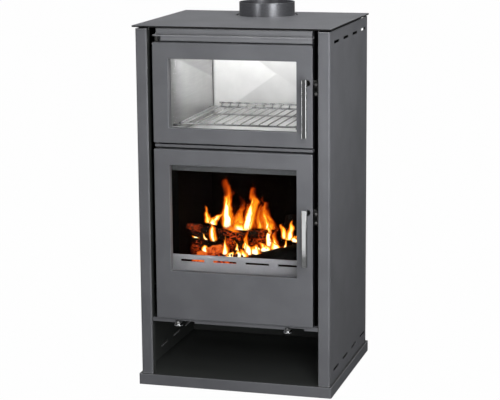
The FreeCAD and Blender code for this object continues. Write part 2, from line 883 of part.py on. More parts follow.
def make_ash_pan():
    """An open pan with a pull on its front, on two rails that lift it over the sill."""
    rail_high = fire_opening_low + size.pan_rail_rise
    front = frame_back + size.pan_front
    back = body_in_back - size.pan_rear_gap
    x = body_in_x - size.pan_side_gap
    rails = []
    for side in (-1, 1):
        centre = (x - size.pan_rail_inset) * side
        across = (centre - size.pan_rail_width / 2, centre + size.pan_rail_width / 2)
        rails.append(block("ash_pan_rail", across, (frame_back, back), (floor_top, rail_high)))
    named(group("ash_pan_rails", rails), "ash_pan_rails")
    body = new_body("ash_pan")
    low = rail_high + size.pan_clearance
    top = low + size.pan_height
    outside = rectangle((-x, x), (front, back))
    pad(body, "XY_Plane", (low, top), [outside])
    round_edges(body, size.pan_corner, "z", outside)
    inside_x = x - size.pan_sheet
    inside = rectangle((-inside_x, inside_x), (front + size.pan_sheet, back - size.pan_sheet))
    pocket(body, "XY_Plane", (low + size.pan_sheet, top), [inside])
    round_edges(body, size.pan_corner - size.pan_sheet, "z", inside)
    pull_x = size.pan_pull_width / 2
    pull = rectangle((-pull_x, pull_x), (front - size.pan_pull_reach, front + size.pan_sheet))
    pull_top = top - size.pan_pull_drop
    pad(body, "XY_Plane", (pull_top - size.pan_sheet, pull_top), [pull])
    named(body, "ash_pan")


def make_air_slides():
    """The tray under the floor, and two slides whose tabs carry the knobs."""
    tray = new_body("air_slide_tray")
    left = primary_knob_x - size.slide_end - size.tray_end_gap
    right = secondary_knob_x + size.slide_end + size.slide_travel + size.tray_end_gap
    deep = (frame_back, slide_back + size.tray_end_gap + size.tray_wall)
    outside = rectangle((left - size.tray_wall, right + size.tray_wall), deep)
    slots = air_slots(primary_knob_x, 1) + air_slots(secondary_knob_x, -1)
    pad(tray, "XY_Plane", (rail_low, floor_low), [outside])
    recess = rectangle((left, right), (deep[0] - size.overrun, deep[1] - size.tray_wall))
    pocket(tray, "XY_Plane", (rail_low + size.tray_sheet, floor_low), [recess])
    pocket(tray, "XY_Plane", (rail_low - size.overrun, rail_low + size.tray_sheet), slots)
    named(tray, "air_slide_tray")
    make_air_slide("primary_air", primary_knob_x, 1)
    make_air_slide("secondary_air", secondary_knob_x, -1)


def make_air_slide(name, knob_x, towards):
    slide = new_body(name + "_slide")
    start = knob_x - size.slide_end * towards
    end = start + size.slide_length * towards
    if towards < 0:
        start, end = end, start
    half = size.tab_width / 2
    outline = [
        (start, slide_back),
        (start, slide_front),
        (knob_x - half, slide_front),
        (knob_x - half, rail_front - size.tab_reach),
        (knob_x + half, rail_front - size.tab_reach),
        (knob_x + half, slide_front),
        (end, slide_front),
        (end, slide_back),
    ]
    pad(slide, "XY_Plane", (slide_low, slide_top), [outline] + air_slots(knob_x, towards))
    named(slide, name + "_slide")
    disc_top = slide_low - size.knob_stem_length
    disc_low = disc_top - size.knob_thickness
    knob = new_body(name + "_disc")
    centre = (knob_x, knob_y)
    pad(knob, "XY_Plane", (disc_low, disc_top), circles=[(centre, size.knob_radius)])
    disc = knob.Tip
    rims = [f"Edge{n}" for n, edge in enumerate(disc.Shape.Edges, 1) if edge.isClosed()]
    bevelled = knob.newObject("PartDesign::Chamfer", name + "_bevel")
    bevelled.Base = (disc, rims)
    bind(bevelled, "Size", size.knob_bevel)
    knob.Tip = bevelled
    doc.recompute()
    pad(knob, "XY_Plane", (disc_top, slide_low), circles=[(centre, size.knob_stem_radius)])
    nut = doc.addObject("Part::Prism", name + "_nut")
    nut.Polygon = 6
    bind(nut, "Circumradius", size.nut_radius)
    bind(nut, "Height", size.nut_height)
    place(nut, knob_x, knob_y, slide_top)
    named(group(name + "_knob", [knob, nut]), name + "_knob")


def make_door(name, low, high, window, opening, spindle_z):
    """A pressed door: panel with folded edges, glass, liner, rope gasket, bushes and boss."""
    panel = new_body(name + "_panel")
    back = face + size.door_depth
    glass_front = back - size.glass_thickness
    pad(panel, "XZ_Plane", (face, back), [rectangle((-door_x, door_x), (low, high))])
    round_edges(panel, size.door_round, "z", [(-door_x, face), (door_x, face)])
    round_edges(panel, size.door_round, "x", [(face, low), (face, high)])
    inside_x = door_x - size.door_edge
    inside = rectangle((-inside_x, inside_x), (low + size.door_edge, high - size.door_edge))
    pocket(panel, "XZ_Plane", (glass_front, back), [inside])
    flange_x = window_x + size.window_flange
    flange_z = (window[0] - size.window_flange, window[1] + size.window_flange)
    flange = rectangle((-flange_x, flange_x), flange_z)
    pocket(panel, "XZ_Plane", (face + size.door_sheet, glass_front), [inside, flange])
    through = (face - size.overrun, glass_front)
    pocket(panel, "XZ_Plane", through, [rectangle((-window_x, window_x), window)])
    stud_hole = [((hinge_x, hinge_y), size.stud_radius + size.hole_clearance)]
    upper_edge = (high - size.door_edge - size.overrun, high + size.overrun)
    lower_edge = (low - size.overrun, low + size.door_edge + size.overrun)
    for edge in (upper_edge, lower_edge):
        pocket(panel, "XY_Plane", edge, circles=stud_hole)
    spindle_hole = [((spindle_x, spindle_z), size.spindle_radius + size.hole_clearance)]
    pocket(panel, "XZ_Plane", (face - size.overrun, face + size.door_sheet), circles=spindle_hole)
    notch = rectangle(
        (tongue_front - size.latch_clearance, tongue_back + size.latch_clearance),
        (spindle_z - size.notch_drop, spindle_z + size.notch_rise),
    )
    pocket(panel, "YZ_Plane", (door_x - size.door_edge - size.overrun, door_x + size.overrun), [notch])
    named(panel, name + "_panel")

    glass = new_body(name + "_glass")
    glass_x = window_x + size.glass_lap
    pane = rectangle((-glass_x, glass_x), (window[0] - size.glass_lap, window[1] + size.glass_lap))
    pad(glass, "XZ_Plane", (glass_front, back), [pane])
    named(glass, name + "_glass")

    liner = new_body(name + "_liner")
    liner_x = door_x - size.liner_inset
    reveal_x = window_x + size.liner_reveal
    outside = rectangle((-liner_x, liner_x), (low + size.liner_inset, high - size.liner_inset))
    reveal_z = (window[0] - size.liner_reveal, window[1] + size.liner_reveal)
    reveal = rectangle((-reveal_x, reveal_x), reveal_z)
    pad(liner, "XZ_Plane", (back, back + size.liner_sheet), [outside, reveal])
    named(liner, name + "_liner")

    gasket = new_body(name + "_gasket")
    rope_in_x = opening[0] + size.gasket_margin
    rope_in = (opening[1] - size.gasket_margin, opening[2] + size.gasket_margin)
    rope_x = rope_in_x + size.gasket_width
    inner = rectangle((-rope_in_x, rope_in_x), rope_in)
    outer = rectangle((-rope_x, rope_x), (rope_in[0] - size.gasket_width, rope_in[1] + size.gasket_width))
    pad(gasket, "XZ_Plane", (back + size.liner_sheet, frame_front - size.seal_gap), [outer, inner])
    named(gasket, name + "_gasket")

    bore = size.stud_radius + size.running_clearance
    bushes = []
    for start in (low + size.door_edge, high - size.door_edge - size.bush_length):
        end = start + size.bush_length
        bushes.append(ring(name + "_bush", bore + size.bush_wall, bore, "z", start, end, hinge_x, hinge_y))
    named(group(name + "_bushes", bushes), name + "_bushes")
    boss_bore = size.spindle_radius + size.running_clearance
    boss_name = name + "_boss"
    boss_front = face - size.boss_length
    boss = ring(boss_name, size.boss_radius, boss_bore, "y", boss_front, face, spindle_x, spindle_z)
    named(boss, boss_name)


def make_handle(name, spindle_z):
    """A hand grip on a spindle that turns the latch tongue behind the door's face."""
    grip = new_body(name + "_grip")
    back = face - size.grip_standoff
    front = back - size.grip_thickness
    across = (spindle_x - size.grip_width / 2, spindle_x + size.grip_width / 2)
    upright = (spindle_z - size.grip_below, spindle_z + size.grip_above)
    pad(grip, "XZ_Plane", (front, back), [rectangle(across, upright)])
    round_edges(grip, size.grip_edge, "z", [(across[0], front), (across[1], front)])
    named(grip, name + "_grip")
    spindle = rod(name + "_spindle", size.spindle_radius, "y", back, tongue_front, spindle_x, spindle_z)
    named(spindle, name + "_spindle")
    tongue = new_body(name + "_tongue")
    tip = spindle_x + size.tongue_reach
    low = spindle_z - size.tongue_width / 2
    high = spindle_z + size.tongue_width / 2
    outline = rectangle((spindle_x - size.tongue_width / 2, tip), (low, high))
    pad(tongue, "XZ_Plane", (tongue_front, tongue_back), [outline])
    round_edges(tongue, size.tongue_corner, "y", outline)
    named(tongue, name + "_tongue")


def make_strike(name, spindle_z):
    """A bent strip on the body's side whose notched lip holds the latch tongue."""
    body = new_body(name)
    outer = column_x - size.strike_wall_gap
    inner = outer - size.strike_sheet
    front = tongue_front - size.strike_wall_gap - size.strike_sheet
    rear_face = frame_back + size.strike_sheet
    outline = [
        (body_x, rear_face + size.strike_foot),
        (body_x, frame_back),
        (inner, frame_back),
        (inner, front + size.strike_sheet),
        (outer - size.strike_lip, front + size.strike_sheet),
        (outer - size.strike_lip, front),
        (outer, front),
        (outer, rear_face),
        (body_x + size.strike_sheet, rear_face),
        (body_x + size.strike_sheet, rear_face + size.strike_foot),
    ]
    pad(body, "XY_Plane", (spindle_z - size.strike_drop, spindle_z + size.strike_rise), [outline])
    notch = rectangle(
        (outer - size.strike_lip - size.overrun, outer + size.overrun),
        (spindle_z - size.strike_notch_high, spindle_z - size.strike_notch_low),
    )
    pocket(body, "XZ_Plane", (front - size.overrun, front + size.strike_sheet), [notch])
    named(body, name)


def stud(name, root, shoulder, tip):
    """A weld stud: a shoulder on its seat, then the shank that a bush turns on."""
    lower = min(root, shoulder, key=lambda end: end.value)
    upper = max(root, shoulder, key=lambda end: end.value)
    shank = sorted((shoulder, tip), key=lambda end: end.value)
    solid = doc.addObject("Part::Fuse", name)
    solid.Base = rod(name + "_shoulder", size.shoulder_radius, "z", lower, upper, hinge_x, hinge_y)
    solid.Tool = rod(name + "_shank", size.stud_radius, "z", shank[0], shank[1], hinge_x, hinge_y)
    return solid


def make_hinge_studs(name, low, high, low_seat, high_seat):
    """The lower stud stands on its seat, the upper one hangs from it."""
    reach = size.door_edge + size.bush_length
    lower = stud(name + "_lower", low_seat, low - size.shoulder_gap, low + reach)
    upper = stud(name + "_upper", high_seat, high + size.shoulder_gap, high - reach)
    named(group(name, [lower, upper]), name)


make_plinth()
make_side_panel("side_panel_left", -1)
make_side_panel("side_panel_right", 1)
make_top_plate()
make_flue_collar()
make_body()
make_front()
make_bottom_rail()
make_back()
make_panel_spacers("panel_spacers_left", size.panel_sheet - panel_x, -body_x)
make_panel_spacers("panel_spacers_right", body_x, panel_x - size.panel_sheet)
make_oven()
make_rack()
make_firebox()
make_grate()
make_log_guard()
make_ash_pan()
make_air_slides()

oven_spindle_z = oven_high - size.oven_spindle_drop
fire_spindle_z = fire_high - size.fire_spindle_drop
oven_window = (oven_low + size.oven_window_low_margin, oven_high - size.oven_window_high_margin)
fire_window = (fire_low + size.fire_window_low_margin, fire_high - size.fire_window_high_margin)
oven_opening = (oven_x, oven_floor, oven_roof)
fire_opening = (fire_opening_x, fire_opening_low, fire_opening_high)
make_door("oven_door", oven_low, oven_high, oven_window, oven_opening, oven_spindle_z)
make_door("fire_door", fire_low, fire_high, fire_window, fire_opening, fire_spindle_z)
make_handle("oven_handle", oven_spindle_z)
make_handle("fire_handle", fire_spindle_z)
make_strike("oven_latch_strike", oven_spindle_z)
make_strike("fire_latch_strike", fire_spindle_z)
make_hinge_studs("oven_hinge_studs", oven_low, oven_high, bar_top, lip_low)
make_hinge_studs("fire_hinge_studs", fire_low, fire_high, rail_top, bar_low)
doc.recompute()

# Every object has to be whole before anything is written
for thing in doc.Objects:
    if "Invalid" in thing.State or "Error" in thing.State:
        raise RuntimeError("failed object: " + thing.Label)
for node in subparts:
    if node.Shape.isNull() or not node.Shape.isValid():
        raise RuntimeError("failed shape: " + node.Label)

os.makedirs("parts", exist_ok=True)
for node in subparts:
    node.Shape.exportStep("parts/" + node.Label + ".step")
print(len(subparts), "sub-parts written")
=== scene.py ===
# %% [markdown]
# A wood cookstove: an oven above a fire, in a painted steel cabinet. The solid model comes
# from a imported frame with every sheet, wire and hinge at its real size. This lesson gives it
# its finishes and adds what is too small or too shapeless for a solid model: screw heads, the
# stop wire of the rack, split logs, embers and flames. Lengths are in metres, the front looks
# towards -Y, up is +Z.

from math import cos, pi, radians, sin

import bmesh
import bpy
from mathutils import Matrix, Vector, noise


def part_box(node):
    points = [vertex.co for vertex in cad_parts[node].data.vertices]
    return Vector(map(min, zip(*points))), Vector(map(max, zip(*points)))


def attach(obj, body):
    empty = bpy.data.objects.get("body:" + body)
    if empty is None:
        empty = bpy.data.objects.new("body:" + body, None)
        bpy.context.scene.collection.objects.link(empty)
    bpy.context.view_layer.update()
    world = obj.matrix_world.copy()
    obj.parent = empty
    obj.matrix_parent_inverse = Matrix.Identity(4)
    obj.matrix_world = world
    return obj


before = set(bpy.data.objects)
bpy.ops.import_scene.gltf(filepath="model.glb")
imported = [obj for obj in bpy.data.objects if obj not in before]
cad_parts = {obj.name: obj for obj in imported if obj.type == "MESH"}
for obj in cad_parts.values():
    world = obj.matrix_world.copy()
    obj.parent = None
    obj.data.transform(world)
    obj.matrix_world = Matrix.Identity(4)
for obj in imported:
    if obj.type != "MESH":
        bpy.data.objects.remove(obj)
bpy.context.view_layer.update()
MM = 0.001

# %% [markdown]
# The camera stands where the photograph was taken from. Its place and turn were worked out
# from the straight edges of the cabinet, so each edge of the model falls on its own edge in
# the picture. A long lens far away keeps the upright edges almost parallel.

# %% Camera
def new_object(name, data):
    """A new object that holds some data, put in the scene."""
    made = bpy.data.objects.new(name, data)
    bpy.context.scene.collection.objects.link(made)
    return made


camera_place = Vector((1.2130, -4.3178, 1.3683))
camera_right = Vector((0.96218634, 0.27226811, -0.00821666))
camera_forward = Vector((-0.26845779, 0.94274922, -0.19787453))
camera_up = camera_right.cross(camera_forward)
turn = Matrix((camera_right, camera_up, -camera_forward)).transposed()
camera = new_object("camera", bpy.data.cameras.new("camera"))
camera.data.sensor_width = 36
camera.data.lens = 123.17
camera.data.clip_end = 200
camera.matrix_world = Matrix.Translation(camera_place) @ turn.to_4x4()
bpy.context.scene.camera = camera
bpy.context.scene.view_settings.view_transform = "Standard"
print("camera", round(camera_place.length, 2), "m from the floor centre")

# %% [markdown]
# Shader trees and geometry trees are built alike, so one small helper adds a node to either,
# with its settings and a value or a link for each input; a whole node stands for the first
# output it offers. Another turns hex colours into the linear light that a shader adds up.
# Node kinds that come back often are kept with their settings as a named pair.

# %% Helpers for node trees
def fill(tree, node, inputs):
    """Give each named input of a node a value, or a link from a socket or another node."""
    for key, value in inputs.items():
        if isinstance(value, bpy.types.Node):
            value = next(output for output in value.outputs if output.enabled)
        if isinstance(value, bpy.types.NodeSocket):
            tree.links.new(value, node.inputs[key])
        else:
            node.inputs[key].default_value = value


def add(tree, kind, settings=None, inputs=None):
    """A new node of one kind, with its settings and its inputs."""
    node = tree.nodes.new(kind)
    for name, value in (settings or {}).items():
        setattr(node, name, value)
    fill(tree, node, inputs or {})
    return node


def linear(hex_colour):
    """An sRGB hex colour as linear RGBA."""
    channels = [int(hex_colour[n:n + 2], 16) / 255 for n in (1, 3, 5)]
    light = [c / 12.92 if c <= 0.04045 else ((c + 0.055) / 1.055) ** 2.4 for c in channels]
    return (*light, 1)


def new_material(name):
    """An empty material with its tree, its shader and its object coordinates."""
    material = bpy.data.materials.new(name)
    material.use_nodes = True
    tree = material.node_tree
    shader = tree.nodes["Principled BSDF"]
    place = add(tree, "ShaderNodeTexCoord").outputs["Object"]
    return material, tree, shader, place


print("helpers ready")

# %% [markdown]
# The stove stands in front of plain white. White all round would flood it with light, so the
# sky is white only for rays from the camera and through glass, a dim grey for mirrors, and
# weak for all other light. The Light Path node tells a shader which kind of ray is asking.

# %% Sky
TIMES = ("ShaderNodeMath", {"operation": "MULTIPLY"})
LARGER = ("ShaderNodeMath", {"operation": "MAXIMUM"})


def seen_share(tree, straight, mirrored):
    """A share for camera and glass rays, another for mirror rays, none for other light."""
    path = add(tree, "ShaderNodeLightPath").outputs
    looked = add(tree, *LARGER, {0: path["Is Camera Ray"], 1: path["Is Transmission Ray"]})
    looked = add(tree, *TIMES, {0: looked, 1: straight})
    mirror = add(tree, *TIMES, {0: path["Is Glossy Ray"], 1: mirrored})
    return add(tree, *LARGER, {0: looked, 1: mirror})


world = bpy.data.worlds.new("studio")
bpy.context.scene.world = world
world.use_nodes = True
sky = world.node_tree
sky_strength = 0.12
strength = add(sky, "ShaderNodeMapRange", None, {
    0: seen_share(sky, 1.0, 0.2), 3: sky_strength, 4: 1.0})
fill(sky, sky.nodes["Background"], {"Color": linear("#ffffff"), "Strength": strength})
print("sky lights the stove at", sky_strength)

# %% [markdown]
# The floor is pale paper. Like the sky it is white to the camera, which would lose the
# stove's shadow, so the shadow is drawn on it, behind the stove and away from the key lamp.
# Each line of the table is one soft edge of the shadow: what it is measured along, where the
# floor is still white and where it is dark. The left edge runs aslant.

# %% Floor
SPLIT = ("ShaderNodeSeparateXYZ", None)
TIMES_PLUS = ("ShaderNodeMath", {"operation": "MULTIPLY_ADD"})
RAMP = ("ShaderNodeMapRange", {"interpolation_type": "SMOOTHSTEP"})
MIX = ("ShaderNodeMix", {"data_type": "RGBA"})
floor_reach = 60.0
corners = [(-floor_reach, -floor_reach, 0), (floor_reach, -floor_reach, 0),
           (floor_reach, floor_reach, 0), (-floor_reach, floor_reach, 0)]
floor_mesh = bpy.data.meshes.new("floor")
floor_mesh.from_pydata(corners, [], [(0, 1, 2, 3)])
floor = new_object("floor", floor_mesh)
paper, tree, shader, place = new_material("pale_paper_floor")
fill(tree, shader, {"Base Color": linear("#464646"), "Roughness": 0.9})
floor_x, floor_y = add(tree, *SPLIT, {0: place}).outputs[:2]
shadow_slope = 0.36
slanted = add(tree, *TIMES_PLUS, {0: floor_y, 1: shadow_slope, 2: floor_x})
shadow_edges = (
    (slanted, -0.335, -0.305),
    (floor_x, 0.2, 0.08),
    (floor_y, 0.66, 0.36),
    (floor_y, -0.12, 0.14),
)
shadow = 1.0
for across, white_at, dark_at in shadow_edges:
    edge = add(tree, *RAMP, {0: across, 1: white_at, 2: dark_at})
    shadow = add(tree, *TIMES, {0: shadow, 1: edge})
shown = add(tree, *MIX, {0: shadow, 6: linear("#ffffff"), 7: linear("#1c1c1c")})
glow = add(tree, "ShaderNodeEmission", None, {"Color": shown, "Strength": 1.0})
blend = add(tree, "ShaderNodeMixShader", None, {
    0: seen_share(tree, 0.99, 0.1), 1: shader, 2: glow})
fill(tree, tree.nodes["Material Output"], {"Surface": blend})
floor_mesh.materials.append(paper)
print("floor", 2 * floor_reach, "m wide,", len(shadow_edges), "edges of shadow")

# %% [markdown]
# A broad key lamp at the front right lights the doors and fades towards the floor and the
# left, as in the picture, and a lamp above lights the hot plate. The oven has a small lamp
# behind the top edge of its door. Two upright strips and a card on the floor are there only
# for chrome and gloss to mirror. Each line gives a lamp's place, the point it looks at, its
# width and height in metres, its beam in degrees and its watts.

# %% Lamps
lamps = (
    ("key_lamp", (0.68, -1.45, 0.82), (0, 0, 0.5), (0.6, 1.4), 180, 22),
    ("side_lamp", (1.7, -0.9, 2.0), (0.25, 0, 0.95), (0.6, 0.6), 50, 2.0),
    ("top_lamp", (0.2, 0.6, 3.4), (0, 0, 0.5), (2.4, 2.4), 180, 48),
    ("back_lamp", (-0.9, 2.4, 1.2), (0, 0, 0.5), (1.2, 1.6), 180, 40),
    ("left_lamp", (-2.2, 0.5, 1.2), (0, 0, 0.5), (1.2, 1.6), 180, 24),
    ("oven_lamp", (-0.1, -0.165, 0.868), (-0.06, 0.18, 0.77), (0.12, 0.03), 180, 0.41),
    ("right_strip", (1.55, -1.75, 0.95), (0, -0.2, 0.6), (0.9, 2.0), 180, 34),
    ("left_strip", (-0.95, -2.1, 0.95), (0, -0.2, 0.6), (0.35, 2.0), 180, 12),
    ("floor_card_strip", (-0.6, -2.35, 0.02), (-0.6, -2.35, 1), (1.0, 1.2), 180, 3.2),
)
not_mirrored = ("key_lamp", "back_lamp", "left_lamp")
for name, spot, target, spread, beam, watts in lamps:
    lamp = new_object(name, bpy.data.lights.new(name, "AREA"))
    lamp.data.shape = "RECTANGLE"
    lamp.data.size, lamp.data.size_y = spread
    lamp.data.spread = radians(beam)
    lamp.data.energy = watts
    lamp.location = spot
    lamp.rotation_euler = (Vector(target) - Vector(spot)).to_track_quat("-Z", "Y").to_euler()
    lamp.visible_camera = False
    lamp.visible_diffuse = not name.endswith("strip")
    lamp.visible_glossy = name not in not_mirrored
print(len(lamps), "lamps")

# %% [markdown]
# Most of the cabinet is sheet steel under satin heat-proof paint. Sprayed and baked paint
# has a fine sandy grain, a soft gloss, and faint clouds where the coat is thicker. A rounded
# normal, set against the true one, finds the folded edges, and they are painted paler: a
# painted highlight where the folds would catch the light. Real grain is near 0.3 mm; it is
# drawn at 0.9 mm to show.

# %% Satin paint
NOISE = ("ShaderNodeTexNoise", None)
DOT = ("ShaderNodeVectorMath", {"operation": "DOT_PRODUCT"})
BELOW = ("ShaderNodeMath", {"operation": "LESS_THAN"})
cloud_size = 90 * MM
sand_size = 0.9 * MM


def painted_steel(name, hex_colours, rougher=0.0, gloss=0.3, metallic=0.0,
                  fold_radius=2.2 * MM, highlight_to=None):
    """Satin heat-proof paint on sheet steel, with a painted highlight on edges, all or those in front
    of a depth.
    """
    thick, thin, highlight_colour = [linear(colour) for colour in hex_colours]
    material, tree, shader, place = new_material(name)
    clouds = add(tree, *NOISE, {"Vector": place, "Scale": 1 / cloud_size, "Detail": 3.0})
    sand = add(tree, *NOISE, {"Vector": place, "Scale": 1 / sand_size, "Detail": 2.0})
    coat = add(tree, *RAMP, {0: clouds, 1: 0.3, 2: 0.7})
    tint = add(tree, *MIX, {0: coat, 6: thick, 7: thin})
    fold = add(tree, "ShaderNodeBevel", {"samples": 4}, {"Radius": fold_radius})
    true_normal = add(tree, "ShaderNodeNewGeometry").outputs["Normal"]
    agree = add(tree, *DOT, {0: fold, 1: true_normal})
    # Paler folded edges are a painted highlight, where the folds would catch the light.
    edge_highlight = add(tree, *RAMP, {0: agree, 1: 0.8, 2: 0.99, 3: 0.85, 4: 0.0})
    if highlight_to is not None:
        depth = add(tree, *SPLIT, {0: place}).outputs["Y"]
        in_front = add(tree, *BELOW, {0: depth, 1: highlight_to})
        edge_highlight = add(tree, *TIMES, {0: edge_highlight, 1: in_front})
    bump = add(tree, "ShaderNodeBump", None, {
        "Strength": 0.25, "Distance": 0.08 * MM, "Height": sand, "Normal": fold})
    fill(tree, shader, {
        "Base Color": add(tree, *MIX, {0: edge_highlight, 6: tint, 7: highlight_colour}),
        "Roughness": add(tree, *RAMP, {0: sand, 1: 0.2, 2: 0.8, 3: 0.48 + rougher, 4: 0.60 + rougher}),
        "IOR": 1.5, "Specular IOR Level": gloss, "Metallic": metallic, "Normal": bump})
    return material


def finish(material, *nodes):
    """Give one finish to frame nodes."""
    for name in nodes:
        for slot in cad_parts[name].material_slots:
            slot.material = material
    print(material.name, "on", len(nodes), "nodes")


print("sand", sand_size, "m, clouds", cloud_size, "m")

# %% [markdown]
# The same paint comes in several shades. The rails are plain grey. The lip and the log guard
# are paler: painted light, standing in for the light they catch. The flue collar is smoother
# and part metal, so it shines. The log store is lined in dark grey, and sheets in the smoke
# are sooted, with hardly any shine. Each entry is a paint: its name, two colours for its
# clouds and one for the painted highlight on its edges, its own settings, and the pieces
# that wear it.

# %% Painted pieces
greys = ("#5f6064", "#66676b", "#96979b")
blacks = ("#141516", "#191a1b", "#27282a")
store_blacks = ("#363837", "#3c3e3d", "#464847")
# Soot black, also used as painted shade on the hot plate's edges.
soot_and_shade_blacks = ("#060606", "#0a0a0a", "#101010")
paints = (
    ("satin_grey_paint", greys, {}, ("mid_bar", "bottom_rail")),
    ("matt_black_paint", blacks, {"rougher": 0.2}, (
        "body_floor", "panel_spacers_left", "panel_spacers_right", "shield_spacers",
        "oven_door_liner", "air_slide_tray", "ash_pan", "ash_pan_rails")),
    # Painted light: the lip and the log guard are paler than the cabinet's grey.
    ("pale_lip_paint", ("#7f8084", "#87888c", "#b8b9bd"), {}, ("top_lip",)),
    ("glossy_collar_paint", ("#7c7d81", "#838488", "#a0a1a4"), {
        "rougher": -0.24, "gloss": 0.6, "metallic": 0.9}, ("flue_collar",)),
    ("pale_guard_paint", ("#727276", "#7a7a7d", "#909093"), {}, ("log_guard",)),
    ("sooted_grey_paint", ("#303133", "#37383a", "#48494b"), {}, ("air_wash_strip",)),
    ("store_black_paint", store_blacks, {"rougher": 0.2}, ("log_store_back", "rear_heat_shield")),
    ("soot_on_steel", soot_and_shade_blacks, {"rougher": 0.35, "gloss": 0.1}, (
        "body_side_left", "body_side_right", "body_back", "body_roof", "hearth_plate",
        "fire_door_liner")),
)
for name, hex_colours, settings, pieces in paints:
    finish(painted_steel(name, hex_colours, **settings), *pieces)

# %% [markdown]
# Some pieces carry two paints. The side panels and the plinth are grey outside and black where
# they line the log store; on the plinth the black also runs a little way out round the panels'
# feet, a painted contact shadow. The hot plate's edges and underside are near black, a painted
# shade. The front frame is black, a painted shade in the gaps round the doors, and grey only
# above the oven door. The doors are grey, and black on their folded sides, a painted shade in
# the same gaps. One material holds both colours, with a mask read from the place on the piece.

# %% Pieces with two paints
ABOVE = ("ShaderNodeMath", {"operation": "GREATER_THAN"})
SMALLER = ("ShaderNodeMath", {"operation": "MINIMUM"})
WITHOUT_SIGN = ("ShaderNodeMath", {"operation": "ABSOLUTE"})


def reopened(material):
    """The tree, shader and object coordinates of a finished material, and its colour so far."""
    tree = material.node_tree
    shader = tree.nodes["Principled BSDF"]
    place = add(tree, "ShaderNodeTexCoord").outputs["Object"]
    return tree, shader, place, shader.inputs["Base Color"].links[0].from_socket


def two_tone(name, outside, inside, axis_limits, **edges):
    """Paint of one colour that takes another between the limits on each axis."""
    material = painted_steel(name, outside, **edges)
    tree, shader, place, tint = reopened(material)
    apart = add(tree, *SPLIT, {0: place}).outputs
    mask = 1.0
    for axis, limits in axis_limits.items():
        along = apart[axis]
        if axis == "X":
            along = add(tree, *WITHOUT_SIGN, {0: along})
        for kind, limit in zip((ABOVE, BELOW), limits):
            test = add(tree, *kind, {0: along, 1: limit})
            mask = add(tree, *SMALLER, {0: mask, 1: test})
    fill(tree, shader, {"Base Color": add(tree, *MIX, {0: mask, 6: tint, 7: linear(inside[0])})})
    return material


print("two paints ready")

# %% [markdown]
# X is measured from the middle to either side. A limit of one metre lies outside every piece
# and stands for no limit. A side panel gets a wide, bright painted highlight, on its front fold only.

# %% Where the second paint lies
FAR = 1.0
sheet = 2 * MM
# How far the plinth's black runs out round the panels' feet: a painted contact shadow.
contact_shadow_width = 4 * MM
side_fold = 4 * MM
head_half_width = 204 * MM
panel_low, panel_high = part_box("side_panel_right")
door_low, door_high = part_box("oven_door_panel")
plinth_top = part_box("base_plinth")[1].z
plate_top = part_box("top_plate")[1].z
panel_inside = {"X": (-FAR, panel_high.x - sheet / 2),
                "Y": (panel_low.y + sheet, panel_high.y - sheet / 2)}
store_floor = {"X": (-FAR, panel_high.x + contact_shadow_width), "Y": (panel_low.y - contact_shadow_width, panel_high.y + contact_shadow_width),
               "Z": (plinth_top - sheet / 2, FAR)}
# The hot plate's edges and underside are painted near black: painted shade.
plate_edge_shade = {"Z": (0, plate_top - 0.4 * MM)}
# The front frame is black outside this strip: painted shade in the gaps round the doors.
head_strip = {"X": (-FAR, head_half_width), "Z": (door_high.z, FAR)}
# The doors' folded sides are black: painted shade in the gaps round them.
door_side_shade = {"X": (door_high.x - side_fold, FAR), "Y": (door_low.y + sheet, FAR)}
# The side panels' third colour is a bright painted highlight on the front fold.
panel_greys_and_highlight = (*greys[:2], "#eeeff2")
front_fold_highlight = {"fold_radius": 4.5 * MM, "highlight_to": panel_low.y + 10 * MM}
double_paints = (
    ("side_panel_paint", panel_greys_and_highlight, store_blacks, panel_inside, front_fold_highlight,
     ("side_panel_left", "side_panel_right")),
    ("plinth_paint", greys, store_blacks, store_floor, {}, ("base_plinth",)),
    ("hot_plate_paint", greys, soot_and_shade_blacks, plate_edge_shade, {}, ("top_plate",)),
    ("front_frame_paint", blacks, greys, head_strip, {}, ("front_frame",)),
    ("door_paint", greys, blacks, door_side_shade, {}, ("oven_door_panel", "fire_door_panel")),
)
for name, outside, inside, axis_limits, edges, pieces in double_paints:
    finish(two_tone(name, outside, inside, axis_limits, **edges), *pieces)

# %% [markdown]
# Bare metals differ in how they were worked. The rack is polished wire, the grips and knobs
# are chrome plate, and the latch tongues and air slides are zinc plate, which is darker and
# duller on the strikes. Hinge pins, bosses and spindles are left as blackened steel. Each is a
# metal whose roughness follows a grain of its own size, and broad faint smears change its colour.

# %% Bare metals
smear_size = 60 * MM


def bare_metal(name, hex_colours, rough, grain_size, stretch=(1, 1, 1), metallic=1.0):
    """A bare or plated metal with a worked grain, stretched along the way it was rolled."""
    clear, smeared = [linear(colour) for colour in hex_colours]
    material, tree, shader, place = new_material(name)
    along = add(tree, "ShaderNodeMapping", None, {"Vector": place, "Scale": stretch})
    worked = add(tree, *NOISE, {"Vector": along, "Scale": 1 / grain_size, "Detail": 3.0})
    smears = add(tree, *NOISE, {"Vector": place, "Scale": 1 / smear_size, "Detail": 3.0})
    smear = add(tree, *RAMP, {0: smears, 1: 0.3, 2: 0.7})
    fold = add(tree, "ShaderNodeBevel", {"samples": 4}, {"Radius": 0.6 * MM})
    bump = add(tree, "ShaderNodeBump", None, {
        "Strength": 0.1, "Distance": 0.05 * MM, "Height": worked, "Normal": fold})
    fill(tree, shader, {
        "Base Color": add(tree, *MIX, {0: smear, 6: clear, 7: smeared}),
        "Roughness": add(tree, *RAMP, {0: worked, 1: 0.25, 2: 0.75, 3: rough[0], 4: rough[1]}),
        "Metallic": metallic, "Normal": bump})
    return material


